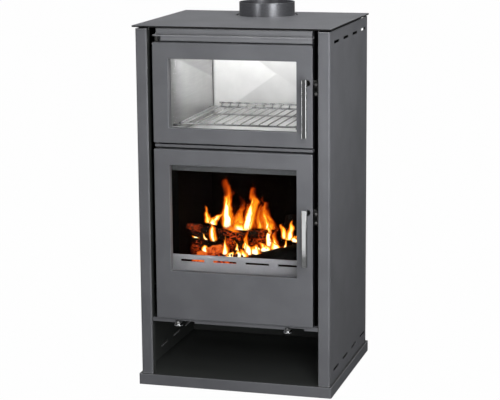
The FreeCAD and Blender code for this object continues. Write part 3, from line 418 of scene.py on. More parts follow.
wire = bare_metal("polished_wire", ("#8c8c8d", "#7c7c7d"), (0.16, 0.26), 3 * MM)
chrome = bare_metal("chrome_plate", ("#cfd0d1", "#c6c7c8"), (0.05, 0.10), 20 * MM)
zinc = bare_metal("zinc_plate", ("#a3a3a2", "#929291"), (0.28, 0.42), 6 * MM)
dull_zinc = bare_metal("dull_zinc_plate", ("#4c4c4b", "#424241"), (0.35, 0.5), 6 * MM)
dark_steel = bare_metal("blackened_steel", ("#3b3b3a", "#2d2d2c"), (0.3, 0.45), 6 * MM)
finish(wire, "oven_rack", "rack_runner_left", "rack_runner_right")
finish(chrome, "oven_handle_grip", "fire_handle_grip", "primary_air_knob", "secondary_air_knob")
finish(zinc, "oven_handle_tongue", "fire_handle_tongue", "primary_air_slide", "secondary_air_slide")
finish(dull_zinc, "oven_latch_strike", "fire_latch_strike")
finish(dark_steel, "oven_handle_spindle", "fire_handle_spindle", "oven_door_boss",
       "fire_door_boss", "oven_hinge_studs", "fire_hinge_studs", "oven_door_bushes",
       "fire_door_bushes")

# %% [markdown]
# The oven is rolled aluminised sheet, with long faint streaks and a soft white shine; it
# scatters part of its light, as a dull coating does. Its walls are darkened in parts with
# slanting edges: on the back wall a painted reflection of the door's dark frame, on the left
# wall a painted shade of the door's top. Each line of the table is one: what it is measured
# along, its slope, its height in metres, and how dark it is below and above it. Two cross on
# the back wall, the third is on the left, which is also painted darker towards the door.
# Faces that meet within 12 mm get a painted shade in the corner, and the top of the box is
# sooted, because it lies in the smoke.

# %% Oven sheet
PLUS = ("ShaderNodeMath", {"operation": "ADD"})
oven_sheet = bare_metal("bright_aluminised_sheet", ("#ececeb", "#e2e2e1"), (0.30, 0.42), 4 * MM,
                        stretch=(0.05, 0.05, 1), metallic=0.5)
tree, shader, place, clean = reopened(oven_sheet)
sideways, depth, height = add(tree, *SPLIT, {0: place}).outputs
oven_low, oven_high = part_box("oven_box")
# Painted reflection on the back wall and painted shade on the left wall, with slanting edges.
painted_shade_edges = (
    (sideways, -0.72, 0.773, 0.20, 0.0),
    (sideways, 0.69, 0.787, 0.0, 0.24),
    (depth, 0.27, 0.817, 0.58, 0.74),
)
shade_soft = 4 * MM
painted_shades = []
for across, slope, edge, share_below, share_above in painted_shade_edges:
    level = add(tree, *TIMES_PLUS, {0: across, 1: slope, 2: height})
    painted_shades.append(add(tree, *RAMP, {
        0: level, 1: edge - shade_soft, 2: edge + shade_soft, 3: share_below, 4: share_above}))
wall = 3 * MM
on_back_wall = add(tree, *ABOVE, {0: depth, 1: oven_high.y - wall})
on_left_wall = add(tree, *BELOW, {0: sideways, 1: oven_low.x + wall})
back_shade = add(tree, *LARGER, {0: painted_shades[0], 1: painted_shades[1]})
back_shade = add(tree, *TIMES, {0: back_shade, 1: on_back_wall})
# Painted shade on the left wall, darker towards the door.
mouth_shade = add(tree, *RAMP, {0: depth, 1: oven_low.y, 2: oven_low.y + 150 * MM, 3: 0.3, 4: 0.0})
left_shade = add(tree, *PLUS, {0: painted_shades[2], 1: mouth_shade})
shade_and_soot = add(tree, "ShaderNodeMix", None, {0: on_left_wall, 2: back_shade, 3: left_shade})
in_smoke = add(tree, *RAMP, {0: height, 1: oven_high.z - 1.0 * MM, 2: oven_high.z - 0.5 * MM})
shade_and_soot = add(tree, *LARGER, {0: shade_and_soot, 1: in_smoke})
shaded_sheet = add(tree, *MIX, {0: shade_and_soot, 6: clean, 7: linear("#343437")})
# Painted shade in the corners, where faces meet within 12 mm.
corner_occlusion = add(tree, "ShaderNodeAmbientOcclusion", {"samples": 8}, {"Distance": 12 * MM})
corner_shade = add(tree, *RAMP, {0: corner_occlusion.outputs["AO"], 1: 0.45, 2: 0.85, 3: 0.9, 4: 0.0})
fill(tree, shader, {"Base Color": add(tree, *MIX, {0: corner_shade, 6: shaded_sheet, 7: linear("#343435")})})
finish(oven_sheet, "oven_box")

# %% [markdown]
# The door panes are flat heat-proof glass, clear and almost without colour. Glass has an
# index of 1.47; 1.04 is used, because these panes hardly mirror the room. The rope seal is
# braided glass fibre, so two slanting waves cross at the width of one strand. At a scale of
# one, a wave of this texture is 0.31 m long.

# %% Glass and rope
glass, tree, shader = new_material("heat_proof_glass")[:3]
fill(tree, shader, {
    "Base Color": linear("#fcfcfc"), "Roughness": 0.0, "IOR": 1.04, "Transmission Weight": 1.0})
finish(glass, "oven_door_glass", "fire_door_glass")

rope, tree, shader, place = new_material("braided_glass_rope")
strand = 2.2 * MM
wave_length = 0.31
waves = []
for lean in (radians(45), radians(-45)):
    turned = add(tree, "ShaderNodeMapping", None, {"Vector": place, "Rotation": (0, lean, 0)})
    wave = add(tree, "ShaderNodeTexWave", None, {
        "Vector": turned, "Scale": wave_length / strand, "Distortion": 1.0})
    waves.append(wave.outputs["Fac"])
weave = add(tree, *LARGER, {0: waves[0], 1: waves[1]})
bump = add(tree, "ShaderNodeBump", None, {"Strength": 0.7, "Distance": 0.5 * MM, "Height": weave})
fill(tree, shader, {
    "Base Color": add(tree, *MIX, {0: weave, 6: linear("#4a4845"), 7: linear("#9b9892")}),
    "Roughness": 0.9, "Normal": bump})
finish(rope, "oven_door_gasket", "fire_door_gasket")

# %% [markdown]
# Fire bricks are pressed grit, blackened by soot that is thicker in blotches, and the grate
# is sand-cast iron with a coarse skin. Both are dull, so one helper makes them: broad blotches
# for the colour, and a fine grit that both roughens the surface and raises it.

# %% Fire brick and cast iron
def rough_mineral(name, hex_colours, blotch, grit):
    """A dull gritty surface with darker blotches."""
    dark, pale = [linear(colour) for colour in hex_colours]
    material, tree, shader, place = new_material(name)
    blotches = add(tree, *NOISE, {"Vector": place, "Scale": 1 / blotch, "Detail": 5.0})
    grits = add(tree, *NOISE, {"Vector": place, "Scale": 1 / grit, "Detail": 4.0})
    stain = add(tree, *RAMP, {0: blotches, 1: 0.35, 2: 0.65})
    bump = add(tree, "ShaderNodeBump", None, {
        "Strength": 0.6, "Distance": 0.4 * MM, "Height": grits})
    fill(tree, shader, {
        "Base Color": add(tree, *MIX, {0: stain, 6: dark, 7: pale}),
        "Roughness": add(tree, *RAMP, {0: grits, 1: 0.2, 2: 0.8, 3: 0.75, 4: 0.95}),
        "Specular IOR Level": 0.02, "Normal": bump})
    return material


brick = rough_mineral("sooted_fire_brick", ("#010101", "#050404"), 70 * MM, 3 * MM)
iron = rough_mineral("cast_iron", ("#262524", "#34322f"), 30 * MM, 2 * MM)
finish(brick, "fire_brick_left", "fire_brick_right", "fire_brick_back", "smoke_baffle")
finish(iron, "fire_grate")

# %% [markdown]
# Screws, coals and flames repeat, so Geometry Nodes place them. The script gives a tree a
# mesh of points with named marks, such as the way a screw faces; the tree puts copies on the
# points, turns them and makes them real. The result is kept as a plain mesh, which then rides
# on a body of the frame.

# %% Turning a node tree into a plain mesh
def new_tree(name, sizes):
    """A geometry tree with named number inputs, the sockets it starts from and its last node."""
    tree = bpy.data.node_groups.new(name, "GeometryNodeTree")
    tree.interface.new_socket("Geometry", in_out="INPUT", socket_type="NodeSocketGeometry")
    for size in sizes:
        tree.interface.new_socket(size, in_out="INPUT", socket_type="NodeSocketFloat")
    tree.interface.new_socket("Geometry", in_out="OUTPUT", socket_type="NodeSocketGeometry")
    return tree, add(tree, "NodeGroupInput").outputs, add(tree, "NodeGroupOutput")


def end_tree(tree, end, copies, material):
    """Make a tree's copies real, give them a material and hand them out."""
    real = add(tree, "GeometryNodeRealizeInstances", None, {0: copies})
    dressed = add(tree, "GeometryNodeSetMaterial", None, {0: real, "Material": material})
    fill(tree, end, {0: dressed})


def made_real(name, tree, mesh, sizes):
    """Run a tree on a starting mesh and keep the result as a plain object."""
    worker = new_object(name + "_points", mesh)
    modifier = worker.modifiers.new("tree", "NODES")
    modifier.node_group = tree
    for item in tree.interface.items_tree:
        if item.in_out == "INPUT" and item.name in sizes:
            modifier[item.identifier] = sizes[item.name]
    seen = worker.evaluated_get(bpy.context.evaluated_depsgraph_get())
    result = bpy.data.meshes.new_from_object(seen)
    bpy.data.objects.remove(worker)
    print(name, len(result.polygons), "faces")
    return new_object(name, result)


def marked_mesh(name, spots, marks, faces=()):
    """A mesh of points, with faces where they are given, and named vector or number marks."""
    mesh = bpy.data.meshes.new(name)
    mesh.from_pydata(spots, [], faces)
    for mark, values in marks.items():
        if isinstance(values[0], tuple):
            layer = mesh.attributes.new(mark, "FLOAT_VECTOR", "POINT")
            layer.data.foreach_set("vector", [number for value in values for number in value])
        else:
            layer = mesh.attributes.new(mark, "FLOAT", "POINT")
            layer.data.foreach_set("value", values)
    return mesh


print("geometry helpers ready")

# %% [markdown]
# A pan-head screw is a low dome with a cross recess. Spinning a profile gives the dome, and
# its own points are pushed in where the cross lies, so a head has under a hundred faces. The
# profile goes from the rim to the middle, in shares of the head's radius and height.

# %% One screw head
def screw_head(radius, height):
    """A domed head whose base lies on Z = 0, with a cross recess."""
    profile = ((1.0, 0.0), (0.98, 0.45), (0.8, 0.85), (0.48, 1.0), (0.2, 1.0))
    recess = 0.45
    around = 16
    shape = bmesh.new()
    rings = []
    for share, rise in profile:
        ring = []
        for step in range(around):
            angle = 2 * pi * step / around
            in_cross = step % 4 == 0 and share < 0.5
            level = height * (recess if in_cross else rise)
            spot = (radius * share * cos(angle), radius * share * sin(angle), level)
            ring.append(shape.verts.new(spot))
        rings.append(ring)
    middle = shape.verts.new((0, 0, height * recess))
    for outer, inner in zip(rings, rings[1:]):
        for step in range(around):
            after = (step + 1) % around
            shape.faces.new((outer[step], outer[after], inner[after], inner[step]))
    for step in range(around):
        shape.faces.new((rings[-1][step], rings[-1][(step + 1) % around], middle))
    shape.faces.new(list(reversed(rings[0])))
    mesh = bpy.data.meshes.new("screw_head")
    shape.to_mesh(mesh)
    shape.free()
    return new_object("screw_head", mesh)


head = screw_head(4.2 * MM, 2.2 * MM)
print("screw head,", len(head.data.polygons), "faces")

# %% [markdown]
# The tree reads which way each head faces, turns the head's Z that way and sets it on its
# point. One input scales all heads, because those on the back of the stove are larger than
# those on the doors. All are zinc plated.

# %% Tree for screws
MARK = ("GeometryNodeInputNamedAttribute", {"data_type": "FLOAT_VECTOR"})
screw_tree, start, end = new_tree("screws_on_points", ["Size"])
facing = add(screw_tree, *MARK, {"Name": "facing"})
turned = add(screw_tree, "FunctionNodeAlignRotationToVector", {"axis": "Z"}, {"Vector": facing})
shape = add(screw_tree, "GeometryNodeObjectInfo", None, {"Object": head})
points = add(screw_tree, "GeometryNodeMeshToPoints", None, {"Mesh": start["Geometry"]})
copies = add(screw_tree, "GeometryNodeInstanceOnPoints", None, {
    "Points": points, "Instance": shape.outputs["Geometry"], "Rotation": turned,
    "Scale": start["Size"]})
end_tree(screw_tree, end, copies, zinc)


def screws(name, body, spots, ways, size=1.0):
    """Screw heads on a body, each with the way it faces."""
    points = marked_mesh(name, spots, {"facing": ways})
    piece = made_real(name, screw_tree, points, {"Size": size})
    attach(piece, body)


print(len(screw_tree.nodes), "nodes in the tree for screws")

# %% [markdown]
# Two screws sit at the head of the cabinet, on the inside of the front folds. Behind, four
# hold the heat shield at its spacers and six the back sheet of the log store. Six hold each
# door's liner, and two each strike. Their places are read from the boxes of those pieces, so
# they follow a piece that changes its size.

# %% Screws in their places
def columns_of(across, depth, levels):
    """Spots on one upright face, column by column."""
    return [(x, depth, z) for x in across for z in levels]


back = (0, 1, 0)
front = (0, -1, 0)
left = (-1, 0, 0)
right = (1, 0, 0)
head_level = (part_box("top_lip")[1].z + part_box("side_panel_left")[1].z) / 2
fold_depth = panel_low.y + 17 * MM
screws("head_screws", "cabinet", columns_of((-panel_low.x, panel_low.x), fold_depth, (head_level,)),
       [right, left])
shield_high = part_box("rear_heat_shield")[1]
store_low, store_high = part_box("log_store_back")
spacer_low, spacer_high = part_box("shield_spacers")
spacer_radius = 7 * MM
rear_spots = columns_of(
    (spacer_low.x + spacer_radius, spacer_high.x - spacer_radius), shield_high.y,
    (spacer_low.z + spacer_radius, spacer_high.z - spacer_radius))
rear_spots += columns_of(
    (store_low.x + 20 * MM, 0, store_high.x - 20 * MM), store_high.y,
    (store_low.z + 15 * MM, store_high.z - 15 * MM))
screws("rear_screws", "cabinet", rear_spots, [back] * len(rear_spots), 1.3)
edge = 9 * MM
for name in ("oven", "fire"):
    low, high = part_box(name + "_door_liner")
    liner_spots = columns_of(
        (low.x + edge, 0, high.x - edge), high.y, (low.z + edge, high.z - edge))
    screws(name + "_liner_screws", name + "_door", liner_spots, [back] * len(liner_spots), 0.9)
strike_spots = []
for name in ("oven", "fire"):
    low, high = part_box(name + "_latch_strike")
    strike_spots += columns_of((high.x - 5 * MM,), low.y, (low.z + 5.5 * MM, high.z - 7.5 * MM))
screws("strike_screws", "cabinet", strike_spots, [front] * len(strike_spots), 0.85)
bpy.data.objects.remove(head)

# %% [markdown]
# The rear ends of the rack's rungs turn up and are bent round one last wire, which keeps a
# dish from sliding off. The tree strings the rung ends into one wire, and sets a short sleeve
# on each of them for the bent end. The sizes are those of the rack in the frame.

# %% Rack stop wire
tree, start, end = new_tree("wire_through_hooks", ["Wire radius", "Hook radius", "Hook length"])
points = add(tree, "GeometryNodeMeshToPoints", None, {"Mesh": start["Geometry"]})
line = add(tree, "GeometryNodePointsToCurves", None, {0: points})
section = add(tree, "GeometryNodeCurvePrimitiveCircle", None, {
    "Resolution": 10, "Radius": start["Wire radius"]})
stop_wire = add(tree, "GeometryNodeCurveToMesh", None, {
    "Curve": line, "Profile Curve": section, "Fill Caps": True})
hook = add(tree, "GeometryNodeMeshCylinder", None, {
    "Vertices": 12, "Radius": start["Hook radius"], "Depth": start["Hook length"]})
hooks = add(tree, "GeometryNodeInstanceOnPoints", None, {
    "Points": points, "Instance": hook, "Rotation": (0, pi / 2, 0)})
both = add(tree, "GeometryNodeJoinGeometry")
for part in (stop_wire, hooks):
    fill(tree, both, {0: part})
end_tree(tree, end, both, wire)

rack_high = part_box("oven_rack")[1]
frame_radius = 2.5 * MM
rung_radius = 1.6 * MM
rung_margin = 22.8 * MM
rung_count = 12
rung_reach = rack_high.x - frame_radius - rung_margin
rung_ends = []
for number in range(rung_count):
    across = rung_reach * (2 * number / (rung_count - 1) - 1)
    rung_ends.append((across, rack_high.y - rung_radius, rack_high.z - rung_radius))
rack_stop = made_real("rack_stop_wire", tree, marked_mesh("rack_stop_wire", rung_ends, {}), {
    "Wire radius": 1.5 * MM, "Hook radius": 2.3 * MM, "Hook length": 13 * MM})
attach(rack_stop, "oven_rack")

# %% [markdown]
# Split logs burn on the grate. Charred wood breaks into small blocks, near 13 by 7 mm, which
# a cell pattern draws along the log's own grain map. Cracks and torn rims glow in patches, at
# the heart of the fire and on the logs at the left. Each line of the table gives the middle
# of such a place, how far it glows in full and where the glow ends, in millimetres. The rest
# is black char under a little ash.

# %% Charred wood
DISTANCE = ("ShaderNodeVectorMath", {"operation": "DISTANCE"})
block_length = 13 * MM
block_width = 7 * MM
patch_size = 40 * MM
ash_size = 25 * MM
charred, tree, shader, place = new_material("charred_split_wood")
along_grain = add(tree, "ShaderNodeUVMap", {"uv_map": "grain"})
blocks = add(tree, "ShaderNodeMapping", None, {
    "Vector": along_grain, "Scale": (1 / block_length, 1 / block_width, 1)})
gap = add(tree, "ShaderNodeTexVoronoi", {"feature": "DISTANCE_TO_EDGE"}, {
    "Vector": blocks, "Scale": 1.0})
crack = add(tree, *RAMP, {0: gap, 1: 0.0, 2: 0.10, 3: 1.0, 4: 0.0})
glow_places = (
    ((-60, -20, 365), 70, 170),
    ((-135, -72, 388), 45, 80),
)
near = 0.0
for middle, full_within, none_beyond in glow_places:
    away = add(tree, *DISTANCE, {0: place, 1: Vector(middle) * MM})
    close = add(tree, *RAMP, {0: away, 1: full_within * MM, 2: none_beyond * MM, 3: 1.0, 4: 0.0})
    near = add(tree, *LARGER, {0: near, 1: close})
patches = add(tree, *NOISE, {"Vector": place, "Scale": 1 / patch_size, "Detail": 3.0})
patch = add(tree, *RAMP, {0: patches, 1: 0.40, 2: 0.60})
patch = add(tree, *TIMES, {0: patch, 1: near})
round_normal = add(tree, "ShaderNodeBevel", {"samples": 4}, {"Radius": 5 * MM})
flat_normal = add(tree, "ShaderNodeNewGeometry").outputs["True Normal"]
agree = add(tree, *DOT, {0: round_normal, 1: flat_normal})
rim = add(tree, *RAMP, {0: agree, 1: 0.7, 2: 0.93, 3: 0.9, 4: 0.0})
burning = add(tree, *LARGER, {0: crack, 1: rim})
glowing = add(tree, *TIMES, {0: burning, 1: patch})
ashes = add(tree, *NOISE, {"Vector": place, "Scale": 1 / ash_size, "Detail": 5.0})
ash = add(tree, *RAMP, {0: ashes, 1: 0.45, 2: 0.75})
bump = add(tree, "ShaderNodeBump", None, {"Strength": 0.8, "Distance": 1.5 * MM, "Height": gap})
fill(tree, shader, {
    "Base Color": add(tree, *MIX, {0: ash, 6: linear("#040303"), 7: linear("#14110f")}),
    "Emission Color": add(tree, *MIX, {0: glowing, 6: linear("#7a1002"), 7: linear("#e04a10")}),
    "Emission Strength": add(tree, *RAMP, {0: glowing, 1: 0.1, 2: 1.0, 3: 0.0, 4: 1.3}),
    "Roughness": 0.85, "Specular IOR Level": 0.1, "Normal": bump})
print(charred.name, "glows in", len(glow_places), "places")

# %% [markdown]
# Splitting leaves a wedge with one round side and two flat torn sides, so each log is a wedge
# outline swept along its length, drawn in at the ends and pushed about by a fixed noise. Its
# own UV map runs along the grain in metres, so the blocks of char keep their real size.

# %% One split log
bark_angles = [radians(22 * n - 9) for n in range(10)]
bark = [Vector((cos(angle), sin(angle))) for angle in bark_angles]
apex = Vector((0, -0.8))
torn = [bark[-1].lerp(apex, 0.35), bark[-1].lerp(apex, 0.7), apex,
        apex.lerp(bark[0], 0.3), apex.lerp(bark[0], 0.65)]
wedge = bark + torn
corner_step = 0.42
log_steps = 20
bumps_per_metre = 30
bump_height = 4


def split_log(shape, grain_map, start, end, radii, roll):
    """One wedge-shaped log, with its grain map along it in metres."""
    start = Vector(start) * MM
    end = Vector(end) * MM
    axis = (end - start).normalized()
    side = axis.cross(Vector((0, 0, 1))).normalized()
    up = side.cross(axis)
    spin = Matrix.Rotation(radians(roll), 2)
    rows = []
    for step in range(log_steps + 1):
        along = step / log_steps
        radius = (radii[0] + (radii[1] - radii[0]) * along) * MM
        radius *= 1 - 0.15 * abs(2 * along - 1) ** 8
        row = []
        for corner in wedge:
            across = (spin @ corner) * radius
            spot = start.lerp(end, along) + side * across.x + up * across.y
            push = noise.noise_vector(spot * bumps_per_metre) * bump_height * MM
            row.append(shape.verts.new(spot + push))
        rows.append(row)
    around = len(wedge)
    length = (end - start).length
    for step in range(log_steps):
        for n in range(around):
            after = (n + 1) % around
            face = shape.faces.new((rows[step][n], rows[step + 1][n],
                                    rows[step + 1][after], rows[step][after]))
            strip = [(step, n), (step + 1, n), (step + 1, n + 1), (step, n + 1)]
            for loop, (row, corner) in zip(face.loops, strip):
                loop[grain_map].uv = (length * row / log_steps, corner * corner_step * radii[0] * MM)
    for row, middle in ((rows[0], start), (rows[-1], end)):
        centre = shape.verts.new(middle)
        for n in range(around):
            face = shape.faces.new((row[n], row[(n + 1) % around], centre))
            for loop in face.loops:
                reach = loop.vert.co - middle
                loop[grain_map].uv = (reach.dot(side), reach.dot(up))


print(len(wedge), "corners round a log")

# %% [markdown]
# Two thick logs lie in front behind the log guard, one crosses the middle, two lean up to
# the left and one up to the right at the back. Each line gives the middles of a log's two
# ends and its two radii, in millimetres, and its roll in degrees. Vector noise starts from
# the clock unless it is given a seed, so one is set first.

# %% Split logs
log_places = (
    ((-168, -30, 334), (-40, -40, 328), (36, 30), 20),
    ((-40, -92, 304), (166, -80, 330), (22, 42), -15),
    ((-168, -84, 402), (-16, -16, 350), (11, 20), 40),
    ((-168, -66, 384), (-70, -28, 352), (10, 16), 120),
    ((-84, 14, 356), (96, 16, 362), (22, 24), 190),
    ((52, 118, 330), (92, 40, 398), (26, 28), 70),
)
shape = bmesh.new()
grain_map = shape.loops.layers.uv.new("grain")
log_seed = 5
noise.seed_set(log_seed)
for log_place in log_places:
    split_log(shape, grain_map, *log_place)
bmesh.ops.recalc_face_normals(shape, faces=shape.faces)
log_mesh = bpy.data.meshes.new("split_logs")
shape.to_mesh(log_mesh)
shape.free()
log_mesh.materials.append(charred)
log_mesh.shade_smooth()
logs = new_object("split_logs", log_mesh)
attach(logs, "cabinet")
print(len(log_places), "logs,", len(log_mesh.polygons), "faces")

# %% [markdown]
# Burning coal glows from within: a black skin, red in the cooler lumps and orange in the
# hottest. Broad patches about 40 mm across carry finer spots, and one place at the left,
# behind the log guard, is hotter than the rest. The same heat drives the colour and the
# strength of the glow, and the skin is too dull to mirror anything.

# %% Glowing coal
def set_stops(node, stops):
    """Give a colour ramp its stops, from 0 to 1."""
    elements = node.color_ramp.elements
    for at, hex_colour in stops:
        stop = elements[0] if at == 0 else elements[-1] if at == 1 else elements.new(at)
        stop.color = linear(hex_colour)


coal_patch = 42 * MM
coal_spot = 7 * MM
hot_middle = Vector((-95, -100, 335)) * MM
coal, tree, shader, place = new_material("glowing_coal")
patches = add(tree, *NOISE, {"Vector": place, "Scale": 1 / coal_patch, "Detail": 2.0})
spots = add(tree, *NOISE, {"Vector": place, "Scale": 1 / coal_spot, "Detail": 3.0})
heat = add(tree, *TIMES_PLUS, {0: spots, 1: 0.6, 2: patches})
away = add(tree, *DISTANCE, {0: place, 1: hot_middle})
hotter = add(tree, *RAMP, {0: away, 1: 25 * MM, 2: 80 * MM, 3: 0.07, 4: 0.0})
heat = add(tree, *PLUS, {0: heat, 1: hotter})
glowing = add(tree, *RAMP, {0: heat, 1: 0.66, 2: 1.0})
colours = add(tree, "ShaderNodeValToRGB", None, {0: glowing})
set_stops(colours, ((0.0, "#100402"), (0.35, "#8a1803"), (0.7, "#c83c0c"), (1.0, "#e06420")))
fill(tree, shader, {
    "Base Color": add(tree, *MIX, {0: spots, 6: linear("#080605"), 7: linear("#1c1816")}),
    "Emission Color": colours,
    "Emission Strength": add(tree, *TIMES, {0: glowing, 1: 1.05}),
    "Roughness": 0.9, "Specular IOR Level": 0.02})
print(coal.name, "in patches of", coal_patch, "m")

# %% [markdown]
# Below and between the logs lies a bed of embers, heaped against the log guard and highest
# at its hot place. A grid is raised into a low mound, which thins out at its rim and rises
# towards the front, and a fixed noise makes it uneven. The sizes are in millimetres.

# %% Mound of embers
half_width = 164
half_depth = 116
bed_shift = 2
bed_level = 283
bed_height = 32
heap_start = -30
heap_depth = 60
heap_height = 18
hot_x = -95
hot_reach = 75
hot_height = 26
uneven_height = 22
uneven_per_metre = 22
shape = bmesh.new()
bmesh.ops.create_grid(shape, x_segments=28, y_segments=22, size=1.0)
for point in shape.verts:
    x, y = point.co.x, point.co.y
    rim = (1 - abs(x) ** 6) * (1 - abs(y) ** 16)
    spot = Vector((x * half_width * MM, y * half_depth * MM + bed_shift * MM, 0))
    heap = max(0, min(1, (heap_start * MM - spot.y) / (heap_depth * MM)))
    hot_side = max(0, 1 - ((spot.x - hot_x * MM) / (hot_reach * MM)) ** 2)
    rise = bed_height + heap * (heap_height + hot_height * hot_side)
    rise += uneven_height * noise.noise(spot * uneven_per_metre)
    point.co = (spot.x, spot.y, (bed_level + rise * rim) * MM)
mound_mesh = bpy.data.meshes.new("mound")
shape.to_mesh(mound_mesh)
shape.free()
print("mound of", len(mound_mesh.polygons), "faces")

# %% [markdown]
# A tree scatters lumps of coal over the mound. Each lump is a coarse ball with its own turn
# and stretch from fixed seeds, so that the bed comes out the same every time. The mound stays
# under the lumps and closes the gaps between them.

# %% Ember bed
SCALED = ("ShaderNodeVectorMath", {"operation": "SCALE"})
ANY_VECTOR = ("FunctionNodeRandomValue", {"data_type": "FLOAT_VECTOR"})
tree, start, end = new_tree("coal_on_mound", ["Lumps", "Lump size"])
scatter = add(tree, "GeometryNodeDistributePointsOnFaces", None, {
    "Mesh": start["Geometry"], "Density": start["Lumps"], "Seed": 11})
lump = add(tree, "GeometryNodeMeshIcoSphere", None, {"Radius": 1.0, "Subdivisions": 1})
turns = add(tree, *ANY_VECTOR, {0: (0, 0, 0), 1: (2 * pi, 2 * pi, 2 * pi), "Seed": 12})
stretch = add(tree, *ANY_VECTOR, {0: (0.5, 0.4, 0.35), 1: (1.2, 0.9, 0.7), "Seed": 13})
lump_scale = add(tree, *SCALED, {0: stretch, "Scale": start["Lump size"]})
placed = add(tree, "GeometryNodeInstanceOnPoints", None, {
    "Points": scatter, "Instance": lump, "Rotation": turns, "Scale": lump_scale})
both = add(tree, "GeometryNodeJoinGeometry")
for part in (start["Geometry"], placed):
    fill(tree, both, {0: part})
end_tree(tree, end, both, coal)
embers = made_real("ember_bed", tree, mound_mesh, {"Lumps": 7000.0, "Lump size": 9 * MM})
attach(embers, "cabinet")

# %% [markdown]
# A flame is glowing gas: nearly white where it is thick, yellow, then orange, then red at its
# torn edges, and clear beyond. How hot a point is follows from how far across and how far up
# its tongue it lies, and from the tongue's own heat; a noise stretched upwards tears the
# edges. The heat sets colour, strength and cover, and there is no surface that could shine.

# %% Flame
lick_size = 16 * MM
flame, tree, shader, place = new_material("flame")
marks = add(tree, "ShaderNodeAttribute", {"attribute_name": "tongue"}).outputs["Vector"]
hotter = add(tree, "ShaderNodeAttribute", {"attribute_name": "glow"}).outputs["Fac"]
across, up = add(tree, *SPLIT, {0: marks}).outputs[:2]
upwards = add(tree, "ShaderNodeMapping", None, {"Vector": place, "Scale": (1, 1, 0.35)})
licks = add(tree, *NOISE, {"Vector": upwards, "Scale": 1 / lick_size, "Detail": 2.0})
away = add(tree, *WITHOUT_SIGN, {0: across})
away = add(tree, *TIMES_PLUS, {0: licks, 1: 0.9, 2: away})
inner = add(tree, *RAMP, {0: away, 1: 0.35, 2: 1.35, 3: 1.0, 4: 0.0})
lower = add(tree, *RAMP, {0: up, 1: 0.1, 2: 1.1, 3: 1.1, 4: 0.25})
warm = add(tree, *TIMES, {0: inner, 1: lower})
warm = add(tree, *TIMES, {0: warm, 1: hotter})
colours = add(tree, "ShaderNodeValToRGB", None, {0: warm})
set_stops(colours, (
    (0.0, "#5a0a00"), (0.25, "#d8480a"), (0.5, "#ff9418"), (0.72, "#ffd24a"), (1.0, "#fff3c8")))
cover = add(tree, *RAMP, {0: warm, 1: 0.06, 2: 0.42})
foot = add(tree, *RAMP, {0: up, 1: 0.0, 2: 0.12})
fill(tree, shader, {
    "Base Color": linear("#000000"), "Roughness": 1.0, "Specular IOR Level": 0.0,
    "Emission Color": colours,
    "Emission Strength": add(tree, *RAMP, {0: warm, 1: 0.1, 2: 0.9, 3: 0.9, 4: 1.8}),
    "Alpha": add(tree, *TIMES, {0: cover, 1: foot})})
print(flame.name, "ready")

# %% [markdown]
# One tongue is a thin upright strip, one unit tall and about as wide, with a belly low down
# and a pointed tip. Each point is marked with how far across and how far up it lies; the
# marks stay with the strip when it is stretched, and the flame's heat is read from them.

# %% One tongue
columns = 9
rows = 25
spots = []
marks = []
for row in range(rows):
    for column in range(columns):
        across = 2 * column / (columns - 1) - 1
        up = row / (rows - 1)
        belly = (1 - up) ** 0.8 * (0.45 + 1.3 * up ** 0.5)
        spots.append((across * belly / 2, 0, up))
        marks.append((across, up, 0))
faces = []
for row in range(rows - 1):
    for column in range(columns - 1):
        first = row * columns + column
        faces.append((first, first + 1, first + columns + 1, first + columns))
tongue = new_object("tongue", marked_mesh("tongue", spots, {"tongue": marks}, faces))
print("one tongue,", len(faces), "faces")

# %% [markdown]
# The tree sets copies of the tongue on points, each with its own turn, width and height. Once
# they are real, a noise sways them, more towards the tips, so that no two look alike. The
# noise is read from the place in the fire, so it has no seed that could change.

# %% Tree for flames
flame_tree, start, end = new_tree("flames_on_points", ["Sway"])
turn = add(flame_tree, *MARK, {"Name": "turn"})
spread = add(flame_tree, *MARK, {"Name": "spread"})
strip = add(flame_tree, *MARK, {"Name": "tongue"})
points = add(flame_tree, "GeometryNodeMeshToPoints", None, {"Mesh": start["Geometry"]})
shape = add(flame_tree, "GeometryNodeObjectInfo", None, {"Object": tongue})
turned = add(flame_tree, "FunctionNodeEulerToRotation", None, {0: turn})
copies = add(flame_tree, "GeometryNodeInstanceOnPoints", None, {
    "Points": points, "Instance": shape.outputs["Geometry"], "Rotation": turned, "Scale": spread})
real = add(flame_tree, "GeometryNodeRealizeInstances", None, {0: copies})
drift = add(flame_tree, "ShaderNodeTexNoise", {"normalize": False}, {"Scale": 26.0, "Detail": 2.0})
up = add(flame_tree, *SPLIT, {0: strip}).outputs["Y"]
amount = add(flame_tree, *TIMES, {0: up, 1: start["Sway"]})
push = add(flame_tree, *SCALED, {0: drift.outputs["Color"], "Scale": amount})
swayed = add(flame_tree, "GeometryNodeSetPosition", None, {0: real, "Offset": push})
dressed = add(flame_tree, "GeometryNodeSetMaterial", None, {0: swayed, "Material": flame})
fill(flame_tree, end, {0: dressed})
print(len(flame_tree.nodes), "nodes in the tree for flames")

# %% [markdown]
# Two tall flames stand left of the middle, with lower ones round them and a row of small ones
# along the front of the bed. Each entry gives the foot of a tongue, its width and height in
# millimetres, its lean in degrees and its heat. The strips are fanned a little, so that they
# also read from the sides.

